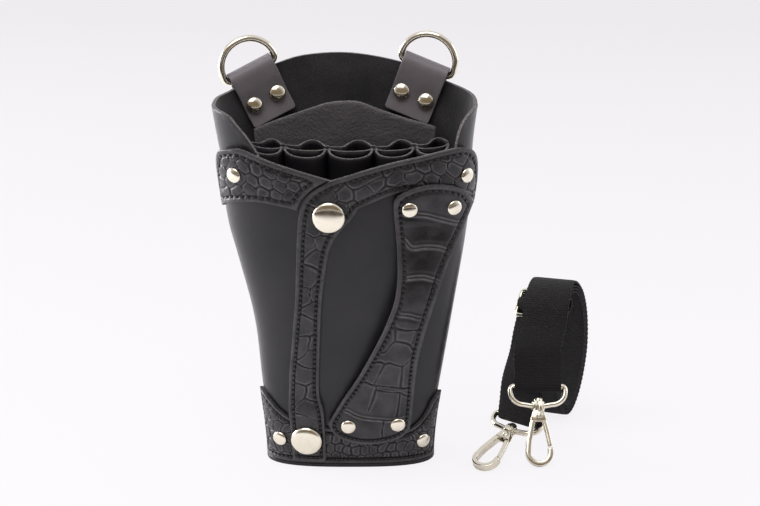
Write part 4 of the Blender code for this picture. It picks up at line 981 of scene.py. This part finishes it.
def makeDivider():
    foot, left, right, thickness = (dividerSize[key] for key in ("foot", "left", "right", "thickness"))

    def place(flat):
        across = flat[:, 0] / -left
        level = (flat[:, 1] - foot) / (dividerTop(flat[:, 0]) - foot)
        x = flat[:, 0] * (0.78 + 0.22 * level)
        y = 10.5 + 8.0 * level + 2.0 * level * across**2 + 0.7 * level * np.sin(across * 5.0)
        return np.stack([x, y + thickness / 2 - flat[:, 2], flat[:, 1]], axis=1)

    across = np.linspace(left, right, 70)
    outline = np.concatenate([
        np.column_stack([across, dividerTop(across)])[::-1],
        [(x, foot) for x in np.linspace(left, right, 20)],
    ])
    makeSheet("divider", outline, place, thickness, pebbledLeather)


tubes = {
    "seams": (-50.8, -33.0, -10.9, 12.6, 33.2, 51.0), "top": 168.5, "foot": 58.0, "footScale": 0.80,
    "bow": 9.0, "backset": 1.5, "footBackset": -2.5, "roundness": 0.46, "thickness": 1.2,
}


def seamSpot(i):
    x = tubes["seams"][i]
    return x, tubes["backset"] + tubes["bow"] * (x / tubes["seams"][-1]) ** 2


def tubeLine(side):
    # line of a tube wall in plan at the top: side is -1 in front, 0 for the lining, 1 behind
    points = []
    sine, cosine = (way(np.radians(np.linspace(-90, 90, 25))) for way in (np.sin, np.cos))
    for i in range(5):
        left, right = seamSpot(i), seamSpot(i + 1)
        middle, half = (left[0] + right[0]) / 2, (right[0] - left[0]) / 2
        deep = tubes["roundness"] * 2 * half
        chord = (1 - sine) / 2 * left[1] + (1 + sine) / 2 * right[1]
        lining = -3.2 * cosine
        swell = np.clip((sine + 0.3) / 1.3, 0.0, 1.0)
        behind = lining + 1.5 + (deep + 1.6) * np.sin(np.pi * swell) ** 0.9
        bow = {-1: -deep * cosine**0.75, 0: lining, 1: behind}[side]
        points.append(np.stack([middle + (half - 0.9) * sine, chord + bow + side * 0.9], axis=1))
    return np.concatenate(points)


def makeTubeWall(name, side, droop, foot=tubes["foot"], isNew=False):
    top = tubeLine(side)
    head, thick, scale = tubes["top"], tubes["thickness"], tubes["footScale"]
    bow = tubes["bow"] * (top[:, 0] / tubes["seams"][-1]) ** 2
    low = np.column_stack([
        top[:, 0] * scale, tubes["footBackset"] + (top[:, 1] - tubes["backset"] - bow) * scale,
    ])
    along = distanceAlong(top)
    ahead = np.gradient(top, axis=0)
    square = np.stack([ahead[:, 1], -ahead[:, 0]], axis=1)
    square /= np.linalg.norm(square, axis=1)[:, None]

    def place(flat):
        level = (flat[:, 1] - tubes["foot"]) / (head - tubes["foot"])
        high, base, out = (readAt(flat[:, 0], along, line) for line in (top, low, square))
        out /= np.linalg.norm(out, axis=1)[:, None]
        spot = base + (high - base) * level[:, None] + out * (flat[:, 2] - thick / 2)[:, None]
        return np.column_stack([spot, flat[:, 1]])

    # each mouth droops between its seams
    span = np.linspace(0.0, along[-1], 160)
    share = np.interp(span, along, np.tile(np.linspace(0.0, 1.0, 25), 5))
    edge = head - droop * np.sin(np.pi * share) ** 0.8
    outline = np.concatenate([
        np.column_stack([span, edge])[::-1],
        [(u, foot) for u in np.linspace(0, along[-1], 60)],
    ])
    makeSheet(name, outline, place, thick, pitch=2.2, rim=0.3, isNew=isNew)


makeDivider()
makeTubeWall("tube_front_wall", -1, 2.2)
makeTubeWall("tube_back_wall", 1, -0.8)
makeTubeWall("tube_lining", 0, 0.8, foot=120.0, isNew=True)
print("divider and tubes")

# rivets and caps


def wallFrame(angle, height):
    # place on the wall: Z points outwards and Y up the wall
    right = Vector(wallSpot(angle + 3.0, height, 0.0) - wallSpot(angle - 3.0, height, 0.0)).normalized()
    rise = Vector(wallSpot(angle, height + 3.0, 0.0) - wallSpot(angle, height - 3.0, 0.0))
    out = right.cross(rise).normalized()
    return standing(Vector(wallSpot(angle, height, 0.0)), right, out)


def capProfile(radius, height, post, back, grip):
    # domed cap with a rolled rim, its post, and the flat cap behind
    turns = np.radians(np.linspace(0, 84, 10))
    dome = [(radius * 0.97 * math.sin(t), height * (0.28 + 0.72 * math.cos(t))) for t in turns]
    return dome + [
        (radius, height * 0.22), (radius * 0.985, 0.0), (radius * 0.9, -0.05), (post, -0.05), (post, -grip),
        (back, -grip), (back, -grip - 0.5), (back * 0.88, -grip - 0.95), (0.0, -grip - 1.0),
    ]


smallRivet = {"radius": 4.0, "height": 2.0, "post": 1.3, "back": 3.4}
tabRivet = {"radius": 4.3, "height": 2.3, "post": 1.3, "back": 3.4}
bigCap = {"radius": 8.3, "height": 3.2, "post": 2.4, "back": 5.5}


def makeCap(name, place, size, grip):
    profile = capProfile(size["radius"], size["height"], size["post"], size["back"], grip)
    makePiece(name, turned(profile), nickel, place=place, crease=50.0)


trimTop, strapTop = trimOffset + trimThickness, overTrim + strapThickness
# each cap: angle and height on the wall, how far out it sits, its size, and whether it goes through the shell
wallCaps = {
    "rivet_band_top_left": (-53.0, 162.3, trimTop, smallRivet, True),
    "rivet_band_top_right": (60.3, 161.1, trimTop, smallRivet, True),
    "rivet_band_low_left": (-52.0, 15.7, trimTop, smallRivet, False),
    "rivet_band_low_right": (56.0, 13.9, trimTop, smallRivet, False),
    "rivet_loop_top_left": (21.4, 147.5, strapTop, smallRivet, False),
    "rivet_loop_top_right": (48.9, 146.8, strapTop, smallRivet, False),
    "rivet_loop_low_left": (-0.2, 27.0, strapTop, smallRivet, False),
    "rivet_loop_low_right": (26.2, 27.5, strapTop, smallRivet, False),
    "cap_strip_top": (-4.2, 142.8, trimTop, bigCap, False),
    "cap_strip_low": (-23.8, 17.6, overTrim + trimThickness, bigCap, False),
}
for name, (angle, height, top, size, throughShell) in wallCaps.items():
    place = wallFrame(angle, height) @ Matrix.Translation((0.0, 0.0, top + 0.1))
    makeCap(name, place, size, top + (shellThickness if throughShell else 0.0) + 0.9)

# ring tabs and D-rings

tab = {
    "halfWidth": 12.1, "tail": 11.0, "rise": 15.0, "fold": 3.8, "thickness": 1.6, "chord": 12.0,
    "rivetGap": 13.4, "splay": 1.6, "rivetTilt": 18.0, "corner": 1.6, "pinch": 0.75,
    # each side: its angle on the wall, the height of its rivets and its lean
    "sides": (("left", -145.3, 187.9, 24.0), ("right", 154.7, 188.9, 20.0)),
}
ring = {"wire": 1.75, "halfWidth": 14.25, "corner": 3.25}


def tabFrame(angle, height, lean):
    # astride the shell's top edge: X across, Y up the tab, Z out of the holster
    shifts = (-tab["chord"], tab["chord"], 0.0)
    one, two, centre = (Vector(wallSpot(angle + shift, height, -shellThickness / 2)) for shift in shifts)
    up = Vector((0.0, 0.0, 1.0))
    sideways = (two - one).normalized()
    out = sideways.cross(up)
    centre = centre.lerp((one + two) / 2, 0.5)
    away = sideways if sideways.dot(Vector((centre.x, 0.0, 0.0))) > 0 else -sideways
    rise = up * math.cos(math.radians(lean)) + away * math.sin(math.radians(lean))
    axes = Matrix((rise.cross(out).normalized(), rise, out)).transposed().to_4x4()
    return Matrix.Translation(centre) @ axes


def alongPath(path, across):
    # place() for a strip that follows a path; across is its width's way at each point
    path, across = np.asarray(path, float), np.asarray(across, float)
    length = distanceAlong(path)
    out = np.cross(np.gradient(path, axis=0), across)
    out /= np.linalg.norm(out, axis=1)[:, None]

    def place(flat):
        centre, side, square = (readAt(flat[:, 0], length, line) for line in (path, across, out))
        side /= np.linalg.norm(side, axis=1)[:, None]
        square /= np.linalg.norm(square, axis=1)[:, None]
        return centre + side * flat[:, 1:2] + square * flat[:, 2:3]
    return place, length[-1]


def tabPath():
    # side view of a tab from its inner end over the ring's bar to its outer end, as (up, out)
    fold, rise, tail = tab["fold"], tab["rise"], tab["tail"]
    controls = [(-tail, -fold - tab["splay"]), (-4.0, -fold), (4.0, -fold), (10.0, -fold - 0.2)]
    controls += arc(fold, -90, 90, 9, x=rise)
    controls += [(10.0, fold + 0.2), (4.0, fold), (-4.0, fold), (-tail, fold - 0.3)]
    return smoothLine(controls, 0.8)


def tabOutline(length):
    half, corner = tab["halfWidth"], tab["corner"]
    quarter = arc(corner, 0, 90, 6)
    outline = [(length - corner + x, half - corner + y) for x, y in quarter]
    outline += [(x, half) for x in np.arange(length - 3, 2.5, -1.5)]
    outline += [(corner - y, half - corner + x) for x, y in quarter]
    outline += [(corner - x, -half + corner - y) for x, y in quarter]
    outline += [(x, -half) for x in np.arange(3, length - 2.5, 1.5)]
    outline += [(length - corner + y, -half + corner - x) for x, y in quarter]
    return np.array(outline)


def makeTab(side, frame):
    line = tabPath()
    path = np.column_stack([np.zeros(len(line)), line])
    place, length = alongPath(path, np.tile([1.0, 0.0, 0.0], (len(path), 1)))
    bm = slab(tabOutline(length), tab["thickness"], 1.3, rim=0.4)
    flat = spotsOf(bm)
    flat[:, 2] -= tab["thickness"] / 2
    # the rivets pinch both leaves, so the leather swells between them and up to the fold
    for row in (tab["tail"], length - tab["tail"]):
        for shift in (-tab["rivetGap"] / 2, tab["rivetGap"] / 2):
            flat[:, 2] -= tab["pinch"] * bell(np.hypot(flat[:, 0] - row, flat[:, 1] - shift), 5.0)
    moveTo(bm, place(flat))
    makePiece(f"ring_tab_{side}", bm, tabLeather, place=frame)


def makeRing(side, frame):
    # the bar lies along X in the tab's fold, and the round part stands up from it
    half, corner = ring["halfWidth"], ring["corner"]
    wire = arc(corner, -90, 0, 7, half - corner, corner) + arc(half, 4, 176, 44, 0.0, corner)
    wire += arc(corner, 180, 270, 7, corner - half, corner)
    bar = frame @ Matrix.Translation((0.0, tab["rise"], 0.0))
    wire = wireMesh(wire, ring["wire"], closed=True)
    makePiece(f"d_ring_{side}", wire, nickel, f"ring_{side}", place=bar, crease=60.0)


def makeTabCaps(side, frame):
    leaf = tab["fold"] + tab["thickness"] / 2 + 0.05
    tilt = Matrix.Rotation(math.pi + math.radians(tab["rivetTilt"]), 4, "X")
    outwards = 1 if frame.to_translation().x * frame.col[0][0] > 0 else -1
    for label, way in (("inner", -outwards), ("outer", outwards)):
        spot = frame @ Matrix.Translation((way * tab["rivetGap"] / 2, 0.0, -leaf + 0.5)) @ tilt
        makeCap(f"rivet_tab_{side}_{label}", spot, tabRivet, 2 * leaf - 0.6)


for side, angle, height, lean in tab["sides"]:
    tabPlace = tabFrame(angle, height, lean)
    makeTab(side, tabPlace)
    makeRing(side, tabPlace)
    makeTabCaps(side, tabPlace)
print("rivets, tabs and rings")

# rolled webbing strap

roll = {
    "width": 24.5, "thickness": 1.3, "pitch": 1.6, "centre": (110.8, 52.9, 37.8), "turn": 28.0, "tilt": 5.0,
    "lean": 16.0, "halfDepth": 25.2, "halfHeight": 37.5, "pinch": 0.12, "turns": 2.0, "leaves": 30.0,
    "rate": 32.3, "sliderAngle": 48.0, "sliderHalf": 7.5, "sliderBump": 4.6, "sliderShift": 1.2,
    "over": (5.9, 34.0), "leaving": 62.0, "length": 900.0,
    # each strand shifts sideways by so much between two angles
    "underShift": (-1.8, 45.0, 105.0), "overShift": (6.4, -22.0, 66.0),
}
eye = {"wire": 1.5, "halfWidth": 14.4, "corner": 1.9, "collar": 10.6}
# each hook: its eye's bar, which way it points and the way of the bar
hooks = {
    "a": (Vector((99.3, 6.2, 35.5)), Vector((0.0, -0.587, -0.81)), Vector((1.0, 0.0, 0.0))),
    "b": (Vector((91.0, 11.2, 14.4)), Vector((-0.558, -0.774, -0.299)), Vector((0.811, -0.585, 0.0))),
}
strapWayB = Vector((-0.03, -0.12, -0.99)).normalized()


def rollAxes():
    # across the strap, towards the roll's back and up the roll
    turn, tilt, lean = (math.radians(roll[key]) for key in ("turn", "tilt", "lean"))
    across = Vector((math.cos(turn) * math.cos(tilt), -math.sin(turn) * math.cos(tilt), math.sin(tilt)))
    back = Vector((math.sin(turn), math.cos(turn), 0.0))
    up = across.cross(back)
    return across, back * math.cos(lean) - up * math.sin(lean), up * math.cos(lean) + back * math.sin(lean)


def rollSpot(angle, inset, standingOff=0.0):
    # on the roll's oval: 0 is its top and 90 its front
    _, back, up = rollAxes()
    turn = math.radians(angle)
    # the roll narrows towards the floor
    pinch = 1 - roll["pinch"] * max(-math.cos(turn), 0.0)
    depth, tall = (roll["halfDepth"] - inset) * pinch, roll["halfHeight"] - inset
    spot = Vector(roll["centre"]) - back * depth * math.sin(turn) + up * tall * math.cos(turn)
    square = up * math.cos(turn) / tall - back * math.sin(turn) / depth
    return spot + square.normalized() * standingOff


def spiralInset(angle):
    return 2 * roll["pitch"] * (roll["leaves"] - angle) / 360


def sideways(angle, shift, starts, ends):
    u = min(max((angle - starts) / (ends - starts), 0.0), 1.0)
    return rollAxes()[0] * shift * u * u * (3 - 2 * u)


def sliderBump(angle, rise, half):
    arc = math.radians(angle - roll["sliderAngle"]) * roll["rate"]
    return rise * math.cos(math.pi * arc / (2 * half)) ** 2 if abs(arc) < half else 0.0


def underStrand(angle, inset):
    # hook B's strand, which runs through the slider
    shift = sideways(angle, *roll["underShift"])
    return rollSpot(angle, inset, sliderBump(angle, roll["sliderBump"], roll["sliderHalf"])) + shift


def overStrand(angle):
    # hook A's strand, which lies over the other one and the slider
    rise = sliderBump(angle, *roll["over"])
    return rollSpot(angle, spiralInset(angle), rise) + sideways(angle, *roll["overShift"])


def easedLine(start, leaving, end, arriving, pull, count):
    reach = (end - start).length * pull
    one, two = start + leaving.normalized() * reach, end - arriving.normalized() * reach
    spots = []
    for i in range(1, count):
        u = i / count
        pulled = one * 3 * u * (1 - u) ** 2 + two * 3 * u * u * (1 - u)
        spots.append(start * (1 - u) ** 3 + pulled + end * u**3)
    return spots


def turnsBetween(start, end, step):
    return list(np.linspace(start, end, max(round(abs(end - start) / step), 1) + 1))


def endLoop(bar, way, across):
    # the webbing's end goes round the eye's bar and back along itself
    radius = eye["wire"] + 0.35 + roll["thickness"] / 2
    side = -across.cross(way).normalized()
    spots = [bar - way * 14 + side * 0.9, bar - way * 7 + side * 1.5]
    for turn in np.radians(100 - 25 * np.arange(9)):
        spots.append(bar + way * radius * math.cos(turn) + side * radius * math.sin(turn))
    return spots + [bar - way * 7 - side * 1.5, bar - way * 19 - side * 0.9]


def strapRoute():
    # middle line of the webbing from hook A's end to hook B's end, and its width's way
    across = rollAxes()[0]
    first = roll["leaves"] - 360 * roll["turns"]
    inner = spiralInset(first)
    over = turnsBetween(roll["leaving"], 10.0, 8)
    strandA = [overStrand(angle) for angle in over + turnsBetween(0.0, first, 15)]
    slider = roll["sliderAngle"]
    angles = turnsBetween(first, slider - 18, 15) + turnsBetween(slider - 14, slider + 14, 3.5)
    strandB = []
    for angle in angles + [slider + 18, 76.0, 86.0]:
        nearFold = max(1 - (angle - first) / 40.0, 0.0)
        strandB.append(underStrand(angle, spiralInset(angle) + roll["pitch"] + 4.5 * nearFold**2))
    fold = [rollSpot(first - back, inner + deep) for back, deep in ((13, 1.2), (17, 3.9), (11, 6.4))]
    barA, wayA, acrossA = hooks["a"]
    barB, _, acrossB = hooks["b"]
    loopA, loopB = endLoop(barA, wayA, acrossA), endLoop(barB, strapWayB, acrossB)
    leadA = easedLine(loopA[0], -wayA, strandA[0], strandA[1] - strandA[0], 0.38, 5)
    leadB = easedLine(strandB[-1], strandB[-1] - strandB[-2], loopB[0], strapWayB, 0.3, 5)
    turning = len(leadA) + len(over)
    ways = [acrossA] * len(loopA) + [acrossA.lerp(across, (i + 1) / turning) for i in range(turning)]
    ways += [across] * (len(strandA) - len(over) + len(fold) + len(strandB))
    ways += [across.lerp(acrossB, (i + 1) / len(leadB)) for i in range(len(leadB))]
    ways += [acrossB] * len(loopB)
    return loopA[::-1] + leadA + strandA + fold + strandB + leadB + loopB, ways


def makeWebbing():
    spots, ways = strapRoute()
    both = smoothLine(np.column_stack([np.array(spots), np.array(ways) * 30.0]), 1.0)
    path, across = both[:, :3], both[:, 3:] / 30.0
    across /= np.linalg.norm(across, axis=1)[:, None]
    place, length = alongPath(path, across)
    print("webbing length", round(length, 1), "mm")
    columns, rows = int(length / 0.65), 14
    bm = bmesh.new()
    bmesh.ops.create_grid(bm, x_segments=columns, y_segments=rows, size=0.5)
    bmesh.ops.scale(bm, vec=(length, roll["width"], 1.0), verts=bm.verts)
    bmesh.ops.translate(bm, vec=(length / 2, 0.0, -roll["thickness"] / 2), verts=bm.verts)
    made = bmesh.ops.extrude_face_region(bm, geom=bm.faces[:])
    upper = [part for part in made["geom"] if isinstance(part, bmesh.types.BMVert)]
    bmesh.ops.translate(bm, vec=(0.0, 0.0, roll["thickness"]), verts=upper)
    bmesh.ops.recalc_face_normals(bm, faces=bm.faces)
    uv = bm.loops.layers.uv.new("weave")
    for face in bm.faces:
        for corner in face.loops:
            corner[uv].uv = (corner.vert.co.x * mm, corner.vert.co.y * mm)
    flat = spotsOf(bm)
    edge = np.abs(flat[:, 1]) / (roll["width"] / 2)
    selvedge = np.clip((edge - 0.8) / 0.2, 0.0, 1.0)
    # ribs across, a thinner rounded selvedge, and bumps where the weft turns back
    rib = np.sin(math.tau * flat[:, 0] / webLook["rib"])
    flat[:, 2] += np.sign(flat[:, 2]) * (0.06 * rib * (1 - selvedge) - 0.2 * selvedge**2)
    flat[:, 1] += np.sign(flat[:, 1]) * (edge > 0.99) * 0.14 * np.sin(math.tau * flat[:, 0] / 2.6)
    moveTo(bm, place(flat))
    strap = makePiece("strap_webbing", bm, webbing, "strap", crease=70.0)
    # rows of sewing that close each end loop
    frames = []
    for start in (14.0, 17.0):
        for end in (start, length - start):
            line = np.column_stack([np.full(10, end), np.linspace(-10.5, 10.5, 10), np.full(10, -0.75)])
            low, high = place(line), place(line - np.array([0.0, 0.0, 1.0]))
            for i in range(9):
                along, out = (Vector(step).normalized() for step in (low[i + 1] - low[i], high[i] - low[i]))
                frames.append(standing(Vector((low[i] + low[i + 1]) / 2), along, out))
    makeStitches("strap_end_stitches", frames, "strap")


def makeSlider():
    # rectangular loop of wire with a middle bar
    across = rollAxes()[0]
    angle = roll["sliderAngle"]
    inset = spiralInset(angle) + roll["pitch"]
    centre = rollSpot(angle, inset, roll["sliderBump"] / 2 + 0.15)
    out = (centre - rollSpot(angle, inset)).normalized()
    shift = sideways(angle, *roll["underShift"]) + across * roll["sliderShift"]
    corner = 2.0
    reachX, reachY = roll["width"] / 2 + 1.4 - corner, roll["sliderHalf"] - corner
    wire = []
    for quarter, (x, y) in enumerate(((1, 1), (-1, 1), (-1, -1), (1, -1))):
        wire += arc(corner, 90 * quarter, 90 * quarter + 90, 6, x * reachX, y * reachY)
    end = reachX + corner
    bar = [(x, 0.0) for x in np.linspace(-end, end, 8)]
    bm = joined([wireMesh(wire, 1.2, closed=True), wireMesh(bar, 1.1)])
    makePiece("strap_slider", bm, nickel, "strap", standing(centre + shift, across, out), 60.0)


makeWebbing()
makeSlider()
print("rolled strap")

# swivel snap hooks

hook = {
    "pivot": 5.2, "bottom": 24.7, "radius": 5.9, "width": 2.8, "depth": 3.8, "axisShift": 0.6,
    "head": (8.2, 6.6, 4.3), "slotDepth": 2.9, "bladeWidth": 2.3, "bladeDepth": 2.2,
}
pinSide = [(0.0, 3.1), (0.9, 3.05), (1.1, 2.85), (1.35, 2.85), (1.65, 2.6), (1.7, 2.15), (0.8, 2.15)]
neckSide = [(0.0, -4.3), (1.9, -4.2), (2.3, -3.7), (2.3, -2.6), (1.2, -2.4), (1.2, 3.0), (0.0, 3.0)]
coilSize = {"radius": 1.25, "turns": 1.6, "foot": 0.66, "height": 0.6, "wire": 0.14}


def hookFrame(bar, way, across):
    # at the eye's bar: X along the bar, Y towards the hook, Z across both
    way = way.normalized()
    depth = across.cross(way).normalized()
    return Matrix.Translation(bar) @ Matrix((across, way, depth)).transposed().to_4x4()


def makeEye(name, frame, body):
    half, corner = eye["halfWidth"], eye["corner"]
    right = arc(corner, -90, 0, 5, half - corner, corner) + arc(7.0, 8, 90, 12, 7.4, 2.6)
    right += [(2.0, eye["collar"])]
    left = [(-x, y) for x, y in reversed(right)]
    wire = wireMesh(smoothLine(left + right, 0.7), eye["wire"])
    # fluted barrel that the swivel stud turns in
    profile = [(1.5, -2.4), (2.9, -2.4), (3.15, -1.9), (3.15, 1.9), (2.9, 2.4), (1.5, 2.4), (1.5, -2.4)]
    barrel = turned(profile, 96)
    for vert in barrel.verts:
        if math.hypot(vert.co.x, vert.co.y) > 2.5:
            swing = 1 + 0.07 * math.cos(12 * math.atan2(vert.co.y, vert.co.x))
            vert.co.x *= swing
            vert.co.y *= swing
    lay = Matrix.Translation((0.0, eye["collar"], 0.0)) @ Matrix.Rotation(-math.pi / 2, 4, "X")
    bmesh.ops.transform(barrel, matrix=lay, verts=barrel.verts)
    makePiece(name, joined([wire, barrel]), nickel, body, frame, 45.0)


def softBlock(size, centre, offset, cuts=None):
    bm = bmesh.new()
    bmesh.ops.create_cube(bm, size=1.0)
    bmesh.ops.scale(bm, vec=size, verts=bm.verts)
    bmesh.ops.translate(bm, vec=centre, verts=bm.verts)
    bmesh.ops.bevel(bm, geom=bm.edges[:], offset=offset, segments=3, profile=0.5, affect="EDGES", material=-1)
    if cuts:
        gridCuts(bm, 0, cuts)
    return bm


def bandAlong(points, width, depth):
    # bar of flat section with rounded corners, along a line in its own XY plane
    path = np.column_stack([np.asarray(points, float), np.zeros(len(points))])
    place, length = alongPath(path, np.tile([0.0, 0.0, 1.0], (len(path), 1)))
    bm = softBlock((length, depth, width), (length / 2, 0.0, 0.0), 0.5, 0.8)
    wrap(bm, place)
    bmesh.ops.recalc_face_normals(bm, faces=bm.faces)
    return bm


def makeHead():
    # two cheeks with a bridge at the swivel's end
    wide, tall, deep = hook["head"]
    middle, cheek = hook["pivot"] - 0.5, (deep - hook["slotDepth"]) / 2
    parts = []
    for side in (-1, 1):
        plate = softBlock((wide, tall, cheek), (0.0, middle, side * (deep / 2 - cheek / 2)), 0.35)
        for vert in plate.verts:
            # the cheeks widen towards the loop
            vert.co.x *= 0.6 + 0.4 * min(max((vert.co.y - middle) / tall + 0.5, 0.0), 1.0)
        parts.append(plate)
    return parts + [softBlock((wide * 0.62, 1.6, deep), (0.0, middle - tall / 2 + 0.8, 0.0), 0.4)]


def makeHook(letter, frame):
    swivel = frame @ Matrix.Translation((0.0, eye["collar"], 0.0))
    pivot, bottom, radius = hook["pivot"], hook["bottom"], hook["radius"]
    body = f"snap_{letter}"
    line = [(-1.7, pivot - 2.3), (-3.0, pivot + 2.6), (-4.5, pivot + 9.0), (-5.5, pivot + 14.5)]
    line += arc(radius, 178, 0, 14, y=bottom) + [(radius - 0.1, bottom - 2.6)]
    band = bandAlong(smoothLine(line, 0.6), hook["width"], hook["depth"])
    neck = turned(neckSide, 32)
    bmesh.ops.transform(neck, matrix=Matrix.Rotation(-math.pi / 2, 4, "X"), verts=neck.verts)
    makePiece(f"hook_{letter}", joined([band, *makeHead(), neck]), nickel, body, swivel)

    axis = swivel @ Matrix.Translation((hook["axisShift"], pivot, 0.0))
    pin = turned(pinSide + [(across, -height) for across, height in reversed(pinSide)], 32)
    makePiece(f"hook_{letter}_pin", pin, nickel, body, axis)
    reach, coil = coilSize["radius"], []
    for i in range(65):
        turn = math.tau * coilSize["turns"] * i / 64
        height = coilSize["foot"] + coilSize["height"] * i / 64
        coil.append((reach * math.cos(turn), reach * math.sin(turn), height))
    makePiece(f"hook_{letter}_spring", wireMesh(coil, coilSize["wire"], sides=2), springSteel, body, axis)

    tip = Vector((radius - 0.8, bottom - pivot - 3.3))
    line = [(tip.x * u**0.5, tip.y * u) for u in np.linspace(0.1, 1.0, 12)]
    blade = bandAlong(line, hook["bladeWidth"], hook["bladeDepth"])
    boss = turned([(1.1, -1.25), (1.9, -1.25), (1.9, 0.2), (1.1, 0.2), (1.1, -1.25)], 32)
    makePiece(f"hook_{letter}_gate", joined([blade, boss]), nickel, f"gate_{letter}", axis)


for letter, (bar, way, across) in hooks.items():
    eyePlace = hookFrame(bar, way, across)
    makeEye(f"hook_{letter}_eye", eyePlace, f"eye_{letter}")
    makeHook(letter, eyePlace)
print("snap hooks")
